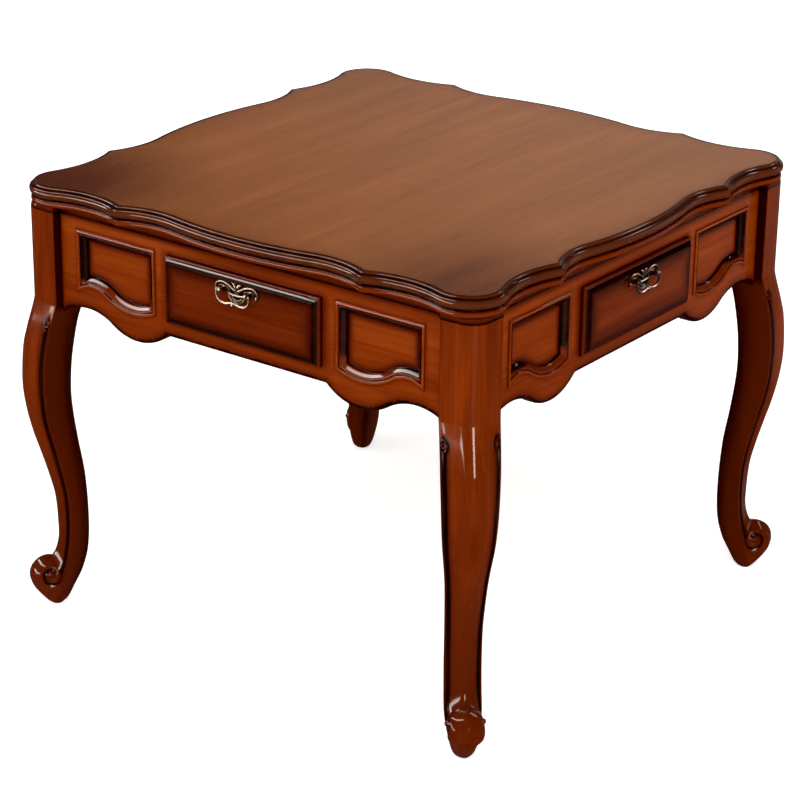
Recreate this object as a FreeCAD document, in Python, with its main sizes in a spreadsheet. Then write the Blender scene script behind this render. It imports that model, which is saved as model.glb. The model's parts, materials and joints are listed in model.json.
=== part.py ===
"""Square game table on four cabriole legs, with a drawer in each side.

A dining top lies loose over a felt-covered game board.  The aprons are tenoned into the
leg posts, corner blocks are bolted to the posts, and each drawer slides in its own pair
of runners behind a lipped front with a swinging bail pull.

Millimetres.  +Z is up, the front is -Y, and the origin is on the floor under the middle.
"""
import FreeCAD, Part
import math
import os

Vector = FreeCAD.Vector
Z_AXIS = Vector(0, 0, 1)
FORWARD = FreeCAD.Rotation(Vector(1, 0, 0), 90)
SIDEWAYS = FreeCAD.Rotation(Vector(0, 1, 0), 90)

DIMENSIONS = [
    # the whole table
    ("table_height", 760, "floor to the dining top's face"),
    ("top_thick", 23, "dining top"),
    ("rim_thick", 20, "game rim, from the aprons to the dining top"),
    ("board_thick", 15, "game board, on the aprons and posts"),
    ("board_inset", 12, "an apron's face to the game board's edge"),
    ("felt_thick", 2, "playing cloth"),
    ("play_half", 350, "half the playing field's side"),
    # the wavy plan of the top
    ("edge_reach", 462, "middle of the table to the edge's furthest point"),
    ("valley_at", 170, "middle of a side to the valley beside its bow"),
    ("valley_depth", 18, "how far that valley lies inside the reach"),
    ("tip_at", 243, "middle of a side to the pointed tip"),
    ("tip_proud", 1, "how far the tip stands past the reach"),
    ("dip_at", 318, "middle of a side to the valley beside the corner"),
    ("dip_depth", 16, "how far that valley lies inside the reach"),
    # the moulded edges
    ("lip_width", 4, "rounded lip round the flat top"),
    ("lip_drop", 4.5, "height of that lip"),
    ("bead_height", 15.5, "large bead of the dining top"),
    ("bead_bulge", 5, "how far the large bead swells"),
    ("rim_bead_height", 10, "small bead of the game rim"),
    ("rim_bead_inset", 2.5, "small bead inside the large one"),
    ("rim_bead_bulge", 3, "how far the small bead swells"),
    ("cove_inset", 7, "foot of the rim inside the large bead"),
    ("cove_rise", 9, "height over which the rim's underside slopes back to an apron"),
    ("cove_run", 20, "how far that slope reaches out from the apron"),
    # posts and aprons
    ("post_inset", 9, "the edge's furthest point to a post's outer face"),
    ("post_wide", 67, "post, square but for its ridge"),
    ("post_ridge", 32, "radius of a post's outer corner"),
    ("post_deep", 157, "aprons' top to where the post ends and the knee begins"),
    ("apron_inset", 16, "a post's outer face to an apron's face"),
    ("apron_thick", 22, "apron board"),
    ("apron_deep", 163, "apron's top to its straight edge under a drawer"),
    ("step_past", 5.5, "end of a drawer front to the small step in the apron's edge"),
    ("lobe_share", 0.289, "place of the lobe's bottom between the step and the post"),
    ("lobe_deep", 189, "apron's top to the bottom of the lobe"),
    ("arch_share", 0.76, "place of the arch's crown between the step and the post"),
    ("arch_deep", 157, "apron's top to the crown of the arch"),
    ("tenon_long", 16, "apron tenon"),
    ("tenon_thick", 10, "apron tenon"),
    ("tenon_setback", 6, "apron face to tenon"),
    ("tenon_deep", 145, "apron's top to the tenon's foot"),
    ("tenon_drop", 17, "apron's top to the tenon's top"),
    ("fit", 0.2, "clearance of a glued or bolted fit, all round"),
    # recessed panels beside the drawer
    ("panel_gap", 26.5, "end of a drawer front to a panel"),
    ("panel_margin", 37, "a panel's far edge to the post"),
    ("panel_drop", 22, "apron's top to a panel's top edge"),
    ("panel_lobe_share", 0.293, "place of a panel's low point across its width"),
    ("panel_lobe_deep", 122, "a panel's top edge to that low point"),
    ("panel_lobe_bend", 0.677, "radius at that point, as a share of the two radii of the foot"),
    ("panel_arch_share", 0.814, "place of the rise in a panel's foot across its width"),
    ("panel_arch_deep", 95, "a panel's top edge to that rise"),
    ("bead_wide", 6, "raised bead round a panel"),
    ("bead_proud", 3, "raised bead round a panel"),
    ("slope_wide", 11, "sloped moulding inside that bead"),
    ("panel_deep", 9, "apron face to the panel's field"),
    # foot scrolls
    ("scroll_out", 76, "post's inner corner to the foot scroll's middle, on the diagonal"),
    ("scroll_high", 54, "floor to the foot scroll's middle"),
    ("scroll_radius", 33.5, "foot scroll"),
    ("scroll_half", 31, "half the foot scroll's width across the diagonal"),
    ("scroll_round", 19, "rounding of the foot scroll's two rims"),
    ("shin_share", 0.4, "place of the shin between the ankle and the calf"),
    # drawers
    ("front_half", 155.5, "half a drawer front's length"),
    ("front_drop", 23, "apron's top to a drawer front"),
    ("front_high", 113, "drawer front"),
    ("front_proud", 14, "drawer front beyond the apron's face"),
    ("front_bevel", 10, "width of the bevel round a drawer front"),
    ("front_edge", 5, "square edge behind that bevel"),
    ("front_gap", 0.4, "closed drawer's lip to the apron"),
    ("end_lap", 12.5, "lip over the opening, at each end"),
    ("opening_lap", 11, "lip over the opening, above and below"),
    ("tongue_gap", 1.2, "drawer front's tongue to the opening"),
    ("tongue_deep", 16, "drawer front's tongue"),
    ("drawer_long", 222, "drawer side, from its rebate in the tongue"),
    ("drawer_side", 12, "thickness of a drawer's sides and back"),
    ("drawer_high", 78, "drawer side"),
    ("drawer_rebate", 8, "drawer side let into the front's tongue"),
    ("drawer_lift", 4, "opening's foot to a drawer side"),
    ("bottom_thick", 5, "drawer bottom"),
    ("bottom_high", 6, "lower edge of a drawer side to its bottom"),
    ("bottom_groove", 6, "drawer bottom let into the sides and front"),
    ("slide_gap", 0.6, "running clearance of a drawer in its runners"),
    ("ride_gap", 0.3, "drawer side to the ledge that carries it"),
    ("runner_web", 13, "runner beside the drawer"),
    ("runner_ledge", 8, "runner under the drawer"),
    ("stop_wide", 40, "block that stops an opening drawer"),
    ("stop_thick", 14, "block that stops an opening drawer"),
    ("stop_hold", 8, "how far that block reaches below the drawer's back"),
    # pulls
    ("pull_drop", 23, "top of a drawer front to the pull's pivots"),
    ("pull_half", 26, "middle of a pull to a pivot"),
    ("plate_half", 43.5, "half a backplate's length"),
    ("plate_crown", 12, "pivots to the top of the backplate"),
    ("plate_bowl", 21, "pivots to the foot of the backplate"),
    ("plate_curl", 7, "curled ends of the backplate"),
    ("plate_thick", 3, "backplate"),
    ("post_long", 12, "pull post beyond the backplate"),
    ("post_radius", 3.6, "pull post"),
    ("bail_radius", 2.1, "bail's rod"),
    ("bail_pin", 1.4, "bail's pivot ends"),
    ("bail_drop", 20, "pivots to the middle of the bail's lowest stretch"),
    ("bail_corner", 12.5, "radius of the bail's two corners"),
    ("pin_gap", 0.1, "running clearance of a bail's pins, all round"),
    ("pull_screw", 1.9, "radius of the screws that hold a pull"),
    ("pull_screw_head", 4, "radius of their heads"),
    # corner blocks and fasteners
    ("block_reach", 95, "post to the end of a corner block, along an apron"),
    ("block_high", 45, "corner block"),
    ("bolt_radius", 4, "hanger bolt"),
    ("bolt_grip", 32, "hanger bolt in the post"),
    ("bolt_tail", 14, "hanger bolt past the corner block"),
    ("nut_across", 13, "nut, across its flats"),
    ("nut_thick", 6.5, "nut"),
    ("washer_radius", 10, "washer under the nut"),
    ("washer_thick", 1.6, "washer under the nut"),
    ("screw_radius", 2, "wood screws that hold the board"),
    ("screw_head", 4, "radius of their heads"),
    ("head_thick", 2.5, "heads of all the wood screws"),
    ("screw_bite", 11, "those screws in the board"),
    ("screw_inset", 14, "an apron's inner face to a board screw"),
    ("screw_back", 43, "a post to a board screw"),
    ("dowel_radius", 5, "dowels that locate the dining top"),
    ("dowel_hold", 12, "those dowels in the dining top"),
    ("dowel_drop", 14, "those dowels below the dining top"),
]

# Places worked out from the dimensions: name, formula, meaning.
PLACES = [
    ("rim_top", "table_height - top_thick", "floor to the game rim's top"),
    ("apron_top", "rim_top - rim_thick", "floor to the top of aprons and posts"),
    ("board_top", "apron_top + board_thick", "floor to the game board's face"),
    ("post_outer", "edge_reach - post_inset", "middle of the table to a post's outer face"),
    ("post_inner", "post_outer - post_wide", "middle of the table to a post's inner face"),
    ("post_foot", "apron_top - post_deep", "floor to where the post ends"),
    ("apron_face", "post_outer - apron_inset", "middle of the table to an apron's face"),
    ("apron_back", "apron_face - apron_thick", "middle of the table to an apron's inner face"),
    ("apron_foot", "apron_top - apron_deep", "floor to the straight edge under a drawer"),
    ("board_half", "apron_face - board_inset", "half the game board's side"),
    ("dowel_at", "(play_half + board_half) / 2", "middle of the table to a dowel"),
    ("step_at", "front_half + step_past", "middle of a side to the small step"),
    ("lobe_at", "step_at + lobe_share * (post_inner - step_at)", "middle of a side to the lobe"),
    ("arch_at", "step_at + arch_share * (post_inner - step_at)", "middle of a side to the arch"),
    ("lobe_foot", "apron_top - lobe_deep", "floor to the bottom of the lobe"),
    ("arch_crown", "apron_top - arch_deep", "floor to the crown of the arch"),
    ("tenon_foot", "apron_top - tenon_deep", "floor to the tenon"),
    ("panel_near", "front_half + panel_gap", "middle of a side to a panel's near edge"),
    ("panel_far", "post_inner - panel_margin", "middle of a side to a panel's far edge"),
    ("panel_lobe_at", "panel_near + panel_lobe_share * (panel_far - panel_near)",
     "middle of a side to a panel's low point"),
    ("panel_arch_at", "panel_near + panel_arch_share * (panel_far - panel_near)",
     "middle of a side to the rise in a panel's foot"),
    ("panel_top", "apron_top - panel_drop", "floor to a panel's top edge"),
    ("front_top", "apron_top - front_drop", "floor to a drawer front's upper edge"),
    ("front_foot", "front_top - front_high", "floor to a drawer front's lower edge"),
    ("front_face", "apron_face + front_proud", "middle of the table to a drawer front's face"),
    ("opening_half", "front_half - end_lap", "half the length of an apron's drawer opening"),
    ("tongue_back", "apron_face + front_gap - tongue_deep", "middle of the table to the tongue's back"),
    ("drawer_foot", "front_foot + opening_lap + drawer_lift", "floor to a drawer side"),
    ("drawer_half", "opening_half - tongue_gap", "half a drawer's width"),
    ("drawer_start", "tongue_back + drawer_rebate", "middle of the table to a drawer side's near end"),
    ("drawer_end", "drawer_start - drawer_long", "middle of the table to a drawer's back"),
    ("pull_high", "front_top - pull_drop", "floor to a pull's pivots"),
    ("plate_face", "front_face + plate_thick", "middle of the table to a backplate's face"),
    ("pivot_out", "plate_face + post_long - post_radius", "middle of the table to a pull's pivots"),
    ("block_end", "post_inner - block_reach", "middle of the table to a corner block's end"),
    ("block_foot", "apron_top - block_high", "floor to a corner block"),
    ("block_middle", "apron_top - block_high / 2", "floor to a corner block's middle"),
]

# Sections of a leg between the floor and its post.  Back and front are measured outward on the
# diagonal from the post's inner corner, and half is half the width across the diagonal.
LOWER_LEG = [
    # name, floor to the section, back, front, half, ridge radius, edge radius
    ("pad", 0, 52, 82, 17, 13, 9),
    ("toe", 8, 46, 90, 19, 13, 9),
    ("sole", 28, 34, 101, 25, 14, 8),
    ("heel", 60, 17.5, 90, 29, 16, 6),
    ("instep", 92, 8, 68, 31, 18, 4),
    ("ankle", 150, 4, 57, 31, 20, 3),
]
UPPER_LEG = [
    # name, post's foot down to the section, back, front, half, ridge radius, edge radius
    ("calf", 260, 17, 87, 35.5, 24, 3),
    ("shank", 200, 24, 102, 42, 26, 3),
    ("knee", 160, 25.5, 107, 44.5, 28, 3),
    ("thigh", 108, 22, 105.5, 46.5, 28, 3),
    ("hip", 56, 14, 98, 47.2, 30, 3),
    ("shoulder", 14, 3, 84, 47.4, 32, 3),
]
SECTION_PARTS = [
    ("level", "height, from the floor or down from the post"),
    ("back", "post's inner corner to its back"),
    ("front", "post's inner corner to its front"),
    ("half", "half its width"),
    ("ridge", "radius of its ridge"),
    ("edge", "radius of its side edges"),
]

SIDES = ["front", "right", "back", "left"]
CORNERS = ["back_right", "back_left", "front_left", "front_right"]
ROOT_TWO = math.sqrt(2)
PLACE_NAMES = {name for name, _, _ in PLACES}

doc = FreeCAD.newDocument("game_table")
sheet = doc.addObject("Spreadsheet::Sheet", "Sizes")
places = doc.addObject("App::VarSet", "Places")
nodes = []


# ---------------------------------------------------------------- document helpers

def all_dimensions():
    """Every driving dimension, the legs' sections included."""
    rows = list(DIMENSIONS)
    for section in LOWER_LEG + UPPER_LEG:
        for value, (part, meaning) in zip(section[1:], SECTION_PARTS):
            rows.append((f"{section[0]}_{part}", value, f"leg's {section[0]}: {meaning}"))
    return rows


def fill_sheet():
    """Write one row for each driving dimension, then work out the places."""
    for row, (alias, value, meaning) in enumerate(all_dimensions(), start=1):
        sheet.set(f"A{row}", alias)
        sheet.set(f"B{row}", str(value))
        sheet.set(f"C{row}", meaning)
        sheet.setAlias(f"B{row}", alias)
    for name, formula, meaning in PLACES:
        places.addProperty("App::PropertyFloat", name, "Places", meaning)
        bind(places, name, formula)
    doc.recompute()


def size(name):
    """The value of one driving dimension or of one place worked out from them."""
    if name in PLACE_NAMES:
        return float(getattr(places, name))
    return float(sheet.get(name))


def bind(thing, prop, text):
    """Bind a property to a formula in the names of dimensions and places."""
    out = ""
    word = ""
    for letter in text + " ":
        if letter.isalpha() or (word and (letter.isalnum() or letter == "_")):
            word += letter
            continue
        if word in PLACE_NAMES:
            word = f"Places.{word}"
        elif word:
            word = f"Sizes.{word}"
        out += word + letter
        word = ""
    thing.setExpression(prop, out.strip())


def turn(quarter):
    """The placement that turns a front piece to another side, in quarter turns."""
    return FreeCAD.Placement(Vector(0, 0, 0), FreeCAD.Rotation(Z_AXIS, 90 * quarter))


def box(name, low, high):
    """A block between two corners, each given as three formulas."""
    block = doc.addObject("Part::Box", name)
    for prop, near, far in zip(("Length", "Width", "Height"), low, high):
        bind(block, prop, f"({far}) - ({near})")
    for axis, near in zip("xyz", low):
        bind(block, f"Placement.Base.{axis}", near)
    return block


def rod(name, radius, length, base, rotation):
    """A round bar whose base point is given as three formulas."""
    bar = doc.addObject("Part::Cylinder", name)
    bar.Placement = FreeCAD.Placement(Vector(0, 0, 0), rotation)
    bind(bar, "Radius", radius)
    bind(bar, "Height", length)
    for axis, value in zip("xyz", base):
        bind(bar, f"Placement.Base.{axis}", value)
    return bar


def cut(name, base, *tools):
    """The base less every tool."""
    for index, tool in enumerate(tools):
        last = index == len(tools) - 1
        result = doc.addObject("Part::Cut", name if last else f"{name}_cut_{index}")
        result.Base = base
        result.Tool = tool
        base = result
    return base


def fuse(name, *parts):
    """Several shapes joined into one solid."""
    result = doc.addObject("Part::MultiFuse", name)
    result.Shapes = list(parts)
    result.Refine = True
    return result


def group(name, *parts):
    """Several separate solids in one piece of the list."""
    result = doc.addObject("Part::Compound", name)
    result.Links = list(parts)
    return result


def feature(name, shape):
    """A shape that the outlines below make."""
    result = doc.addObject("Part::Feature", name)
    result.Shape = shape
    return result


def node(label, thing, quarter=0):
    """Register a finished sub-part, turned to its own side or corner."""
    thing.Label = label
    if quarter:
        thing.Placement = turn(quarter).multiply(thing.Placement)
    nodes.append(thing)
    return thing


# ---------------------------------------------------------------- outline helpers

def arc(centre, radius, begin, finish):
    """Three points on an arc, from one bearing to another, in degrees."""
    points = []
    for bearing in (begin, (begin + finish) / 2, finish):
        angle = math.radians(bearing)
        points.append((centre[0] + radius * math.cos(angle), centre[1] + radius * math.sin(angle)))
    return points


def bearing(centre, point):
    """The direction from a centre to a point, in degrees."""
    return math.degrees(math.atan2(point[1] - centre[1], point[0] - centre[0]))


def on_line(start, end, distance):
    """The point at a distance from start, towards end."""
    share = distance / math.hypot(end[0] - start[0], end[1] - start[1])
    return (start[0] + (end[0] - start[0]) * share, start[1] + (end[1] - start[1]) * share)


def crossing(first, radius, second, other):
    """Where two circles cross, on the side nearer to the table's middle."""
    gap = math.hypot(second[0] - first[0], second[1] - first[1])
    along = (gap ** 2 + radius ** 2 - other ** 2) / (2 * gap)
    aside = math.sqrt(radius ** 2 - along ** 2)
    foot = on_line(first, second, along)
    step = ((second[1] - first[1]) / gap * aside, (first[0] - second[0]) / gap * aside)
    choices = [(foot[0] + step[0], foot[1] + step[1]), (foot[0] - step[0], foot[1] - step[1])]
    return min(choices, key=lambda point: point[1])


def plan_arcs(inset):
    """Half a side of the wavy plan, from its middle to the corner, moved in by an inset.

    The first coordinate runs along the side, the second out from the table's middle.
    """
    reach = size("edge_reach")
    valley_out = reach - size("valley_depth")
    dip_out = reach - size("dip_depth")
    tip_out = reach + size("tip_proud")
    rise = tip_out - valley_out
    run = size("tip_at") - size("valley_at")
    valley_radius = (run ** 2 + rise ** 2) / (2 * rise)
    depth = size("valley_depth")
    bow_radius = (size("valley_at") ** 2 + depth ** 2) / (2 * depth) - valley_radius
    rise = tip_out - dip_out
    run = size("dip_at") - size("tip_at")
    dip_radius = (run ** 2 + rise ** 2) / (2 * rise)
    depth = size("dip_depth")
    space = reach - size("dip_at")
    linear = 2 * space + 2 * depth
    constant = space ** 2 - 2 * depth * dip_radius + depth ** 2
    corner_radius = (linear - math.sqrt(linear ** 2 - 4 * constant)) / 2

    bow = (0, reach - bow_radius)
    valley = (size("valley_at"), valley_out + valley_radius)
    dip = (size("dip_at"), dip_out + dip_radius)
    corner = (reach - corner_radius, reach - corner_radius)
    tip = crossing(valley, valley_radius + inset, dip, dip_radius + inset)
    bow_end = on_line(bow, valley, bow_radius - inset)
    corner_start = on_line(corner, dip, corner_radius - inset)
    return [
        arc(bow, bow_radius - inset, 90, bearing(bow, bow_end)),
        arc(valley, valley_radius + inset, bearing(valley, bow_end), bearing(valley, tip)),
        arc(dip, dip_radius + inset, bearing(dip, tip), bearing(dip, corner_start)),
        arc(corner, corner_radius - inset, bearing(corner, corner_start), 45),
    ]


def plan_wire(inset, height):
    """The whole wavy plan, moved in by an inset, at one height."""
    half = plan_arcs(inset)
    mirrored = [[(-x, y) for x, y in reversed(points)] for points in reversed(half)]
    edges = []
    for quarter in range(4):
        angle = math.radians(-90 * quarter)
        for points in mirrored + half:
            spots = [
                Vector(x * math.cos(angle) - y * math.sin(angle),
                       x * math.sin(angle) + y * math.cos(angle), height)
                for x, y in points
            ]
            edges.append(Part.Arc(*spots).toShape())
    return Part.Wire(edges)


def bead_levels(top, high, inset, bulge, steps=6):
    """Insets and heights down a rounded bead."""
    levels = []
    for step in range(steps + 1):
        angle = math.radians(90 - 180 * step / steps)
        levels.append((inset + bulge * (1 - math.cos(angle)), top - high / 2 * (1 - math.sin(angle))))
    return levels


def moulded_slab(levels):
    """A solid whose edge follows a list of insets and heights."""
    wires = [plan_wire(inset, height) for inset, height in levels]
    return Part.makeLoft(wires, True, True)


# ---------------------------------------------------------------- top

def dining_top():
    """Loose slab with a rounded lip over a large bead, bored for its dowels."""
    high = size("table_height")
    bulge = size("bead_bulge")
    lip = size("lip_width")
    drop = size("lip_drop")
    levels = [(bulge + lip, high)]
    for share in (30, 60, 90):
        angle = math.radians(share)
        levels.append((bulge + lip * (1 - math.sin(angle)), high - drop * (1 - math.cos(angle))))
    levels += bead_levels(high - drop, size("bead_height"), 0, bulge)[1:]
    levels.append((bulge, size("rim_top")))
    slab = feature("top_slab", moulded_slab(levels))
    bores = [
        rod(f"top_bore_{spot}", "dowel_radius + fit / 2", "dowel_hold",
            place + ("rim_top",), FreeCAD.Rotation())
        for spot, place in enumerate(dowel_places())
    ]
    node("dining_top", cut("dining_top", slab, *bores))


def dowel_places():
    """The middles of the four dowels, one on the middle line of each side."""
    return [("dowel_at", "0"), ("0", "dowel_at"), ("-dowel_at", "0"), ("0", "-dowel_at")]


def locating_dowels():
    """Dowels fixed in the dining top, which drop into the game rim."""
    rods = [
        rod(f"dowel_{spot}", "dowel_radius", "dowel_hold + dowel_drop",
            place + ("rim_top - dowel_drop",), FreeCAD.Rotation())
        for spot, place in enumerate(dowel_places())
    ]
    node("locating_dowels", group("locating_dowels", *rods))


def dowel_sockets(name):
    """Loose holes for the dowels."""
    return [
        rod(f"{name}_{spot}", "dowel_radius + slide_gap", "dowel_drop + slide_gap",
            place + ("rim_top - dowel_drop - slide_gap",), FreeCAD.Rotation())
        for spot, place in enumerate(dowel_places())
    ]


def game_rim():
    """Frame with a small bead and a cove, rebated over the game board."""
    top = size("rim_top")
    inset = size("rim_bead_inset")
    levels = bead_levels(top, size("rim_bead_height"), inset, size("rim_bead_bulge"))
    foot = size("apron_top")
    cove = size("cove_inset")
    start = levels[-1]
    for share in (30, 60, 90):
        angle = math.radians(share)
        levels.append((start[0] + (cove - start[0]) * math.sin(angle),
                       start[1] - (start[1] - foot) * (1 - math.cos(angle))))
    slab = feature("rim_slab", moulded_slab(levels))
    field = box("rim_field", ("-play_half", "-play_half", "board_top - fit"),
                ("play_half", "play_half", "table_height"))
    rebate = box("rim_rebate",
                 ("-board_half - fit", "-board_half - fit", "apron_top - 1"),
                 ("board_half + fit", "board_half + fit", "board_top"))
    slopes = [feature(f"rim_slope_{side}", rim_slope(quarter)) for quarter, side in enumerate(SIDES)]
    node("game_rim", cut("game_rim", slab, field, rebate, *slopes, *dowel_sockets("rim_socket")))


def rim_slope(quarter):
    """The wedge cut from under the rim where it overhangs an apron, between two posts."""
    face = size("apron_face")
    foot = size("apron_top")
    brow = foot + size("cove_rise")
    run = face + size("cove_run")
    clear = size("edge_reach")
    end = size("post_inner")
    corners = [(face, foot), (run, brow), (clear, brow), (clear, foot - 1), (face, foot - 1)]
    spots = [Vector(-end, -out, height) for out, height in corners]
    wedge = Part.Face(Part.makePolygon(spots + spots[:1])).extrude(Vector(2 * end, 0, 0))
    wedge.Placement = turn(quarter)
    return wedge


def game_board():
    """Board that carries the playing cloth, held by screws from the corner blocks."""
    board = box("board_block", ("-board_half", "-board_half", "apron_top"),
                ("board_half", "board_half", "board_top"))
    holes = [
        rod(f"board_hole_{spot}", "screw_radius", "screw_bite", (across, along, "apron_top"),
            FreeCAD.Rotation())
        for spot, (across, along) in enumerate(screw_places())
    ]
    node("game_board", cut("game_board", board, *dowel_sockets("board_socket"), *holes))


def felt():
    """Playing cloth on the board, inside the rim."""
    node("playing_felt", box("playing_felt", ("-play_half + fit", "-play_half + fit", "board_top"),
                             ("play_half - fit", "play_half - fit", "board_top + felt_thick")))


# ---------------------------------------------------------------- legs

def kite_wire(height, back, reach, half, ridge, edge):
    """A leg's section: a square on its corner, with its ridge and edges rounded.

    Lengths run outward along the diagonal; half is half the width across it.
    """
    front = reach + (ROOT_TWO - 1) * ridge
    middle = (back + front) / 2
    corners = [(back, 0), (middle, -half), (front, 0), (middle, half)]
    radii = [edge, edge, ridge, edge]
    trims = []
    for index, radius in enumerate(radii):
        before = corners[index - 1]
        here = corners[index]
        after = corners[(index + 1) % 4]
        opening = math.radians(abs(bearing(here, before) - bearing(here, after)) % 360)
        opening = min(opening, 2 * math.pi - opening)
        trim = radius / math.tan(opening / 2)
        start = on_line(here, before, trim)
        finish = on_line(here, after, trim)
        middle_way = ((start[0] + finish[0]) / 2, (start[1] + finish[1]) / 2)
        centre_gap = radius / math.sin(opening / 2)
        centre = on_line(here, middle_way, centre_gap)
        crown = on_line(centre, here, radius)
        trims.append((start, crown, finish))
    edges = []
    for index, (start, crown, finish) in enumerate(trims):
        spots = [diagonal(point, height) for point in (start, crown, finish)]
        edges.append(Part.Arc(*spots).toShape())
        following = diagonal(trims[(index + 1) % 4][0], height)
        edges.append(Part.makeLine(spots[2], following))
    return Part.Wire(edges)


def diagonal(point, height):
    """A point given along and across the diagonal, in table coordinates."""
    along, across = point
    return Vector((along - across) / ROOT_TWO, (along + across) / ROOT_TWO, height)


def measures(name):
    """One section of a leg: back, front, half width, ridge and edge."""
    corner = size("post_inner") * ROOT_TWO
    return (corner + size(f"{name}_back"), corner + size(f"{name}_front"), size(f"{name}_half"),
            size(f"{name}_ridge"), size(f"{name}_edge"))


def leg_sections():
    """The leg's sections from the floor to the post, each as a height and its measures."""
    lower = [(size(f"{row[0]}_level"),) + measures(row[0]) for row in LOWER_LEG]
    foot = size("post_foot")
    upper = [(foot - size(f"{row[0]}_level"),) + measures(row[0]) for row in UPPER_LEG]
    share = size("shin_share")
    shin = tuple(low + (high - low) * part for low, high, part
                 in zip(lower[-1], upper[0], (share,) + (share ** 2,) * 5))
    ridge = size("post_ridge")
    post = (foot, size("post_inner") * ROOT_TWO,
            size("post_outer") * ROOT_TWO - (ROOT_TWO - 1) * ridge,
            size("post_wide") / ROOT_TWO, ridge, size("shoulder_edge"))
    return lower + [shin] + upper + [post]


def legs():
    """Four cabriole legs with scroll feet, mortised for two aprons each."""
    sections = leg_sections()
    lower = Part.makeLoft([kite_wire(*section) for section in sections], True, False)
    post_face = Part.Face(kite_wire(*sections[-1]))
    post = post_face.extrude(Vector(0, 0, size("post_deep")))
    half = size("scroll_half")
    out = size("post_inner") * ROOT_TWO + size("scroll_out")
    scroll = Part.makeCylinder(size("scroll_radius"), 2 * half,
                               diagonal((out, -half), size("scroll_high")), Vector(-1, 1, 0))
    rims = [edge for edge in scroll.Edges if edge.Closed]
    scroll = scroll.makeFillet(size("scroll_round"), rims)
    body = lower.fuse([post, scroll]).removeSplitter()
    for quarter, corner in enumerate(CORNERS):
        blank = feature(f"leg_blank_{corner}", body)
        first = mortise(f"mortise_a_{corner}")
        second = mortise(f"mortise_b_{corner}", swapped=True)
        bore = rod(f"leg_bore_{corner}", "bolt_radius + fit / 2", "bolt_grip + fit",
                   ("post_inner", "post_inner", "block_middle"), diagonal_turn())
        node(f"leg_{corner}", cut(f"leg_{corner}", blank, first, second, bore), quarter)


def mortise(name, swapped=False):
    """The pocket for one apron tenon, in the back right post."""
    low = ["post_inner - 1", "apron_face - tenon_setback - tenon_thick - fit", "tenon_foot - fit"]
    high = ["post_inner + tenon_long + fit", "apron_face - tenon_setback + fit",
            "apron_top - tenon_drop + fit"]
    if swapped:
        low[0], low[1] = low[1], low[0]
        high[0], high[1] = high[1], high[0]
    return box(name, low, high)


def diagonal_turn():
    """The rotation that lays a rod outward along the back right diagonal."""
    return FreeCAD.Rotation(Z_AXIS, Vector(1, 1, 0))


# ---------------------------------------------------------------- aprons and panels

def apron_outline():
    """One apron seen from outside: lobes and arches below, straight under the drawer."""
    top = size("apron_top")
    end = size("post_inner")
    step = (size("step_at"), size("apron_foot"))
    lobe_at, lobe_foot = size("lobe_at"), size("lobe_foot")
    arch_at, crown = size("arch_at"), size("arch_crown")
    rise = step[1] - lobe_foot
    lobe_radius = ((lobe_at - step[0]) ** 2 + rise ** 2) / (2 * rise)
    both = ((arch_at - lobe_at) ** 2 + (crown - lobe_foot) ** 2) / (2 * (crown - lobe_foot))
    arch_radius = both - lobe_radius
    lobe = (lobe_at, lobe_foot + lobe_radius)
    arch = (arch_at, crown - arch_radius)
    meet = on_line(lobe, arch, lobe_radius)
    finish = (end, arch[1] + math.sqrt(arch_radius ** 2 - (end - arch_at) ** 2))
    half = [
        [(0, step[1]), step],
        arc(lobe, lobe_radius, bearing(lobe, step), bearing(lobe, meet)),
        arc(arch, arch_radius, bearing(arch, meet), bearing(arch, finish)),
        [finish, (end, top)],
    ]
    return closed_face(half + [[(end, top), (0, top)]], mirror=True)


def closed_face(runs, mirror=False, offset=0.0):
    """A face in the XZ plane from lines and arcs, each a list of two or three points."""
    if mirror:
        runs = runs + [[(-x, z) for x, z in reversed(points)] for points in reversed(runs)]
    edges = []
    for points in runs:
        spots = [Vector(x, offset, z) for x, z in points]
        if len(spots) == 2:
            edges.append(Part.makeLine(*spots))
        else:
            edges.append(Part.Arc(*spots).toShape())
    return Part.Face(Part.Wire(edges))


def panel_runs(inset):
    """A panel right of the drawer, moved in by an inset: straight but for its wavy foot."""
    near = size("panel_near") + inset
    far = size("panel_far") - inset
    top = size("panel_top") - inset
    run = size("panel_arch_at") - size("panel_lobe_at")
    rise = size("panel_lobe_deep") - size("panel_arch_deep")
    both = (run ** 2 + rise ** 2) / (2 * rise)
    lobe_radius = size("panel_lobe_bend") * both
    arch_radius = both - lobe_radius
    lobe = (size("panel_lobe_at"), size("panel_top") - size("panel_lobe_deep") + lobe_radius)
    arch = (size("panel_arch_at"), size("panel_top") - size("panel_arch_deep") - arch_radius)
    lobe_radius -= inset
    arch_radius += inset
    start = (near, lobe[1] - math.sqrt(lobe_radius ** 2 - (near - lobe[0]) ** 2))
    meet = on_line(lobe, arch, lobe_radius)
    finish = (far, arch[1] + math.sqrt(arch_radius ** 2 - (far - arch[0]) ** 2))
    return [
        [(near, top), start],
        arc(lobe, lobe_radius, bearing(lobe, start), bearing(lobe, meet)),
        arc(arch, arch_radius, bearing(arch, meet), bearing(arch, finish)),
        [finish, (far, top)],
        [(far, top), (near, top)],
    ]


def panel_face(inset, out):
    """A panel's outline at a distance out from the table's middle, on the front side."""
    return closed_face(panel_runs(inset), offset=-out)


def both_panels(shape):
    """The right-hand shape and its mirror image."""
    return [shape, shape.mirror(Vector(0, 0, 0), Vector(1, 0, 0))]


def recess_prism():
    """The pocket for one panel's sloped moulding, square to the apron's face."""
    out = size("apron_face")
    face = panel_face(size("bead_wide"), out + 1)
    return face.extrude(Vector(0, size("panel_deep") + 1, 0))


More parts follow.
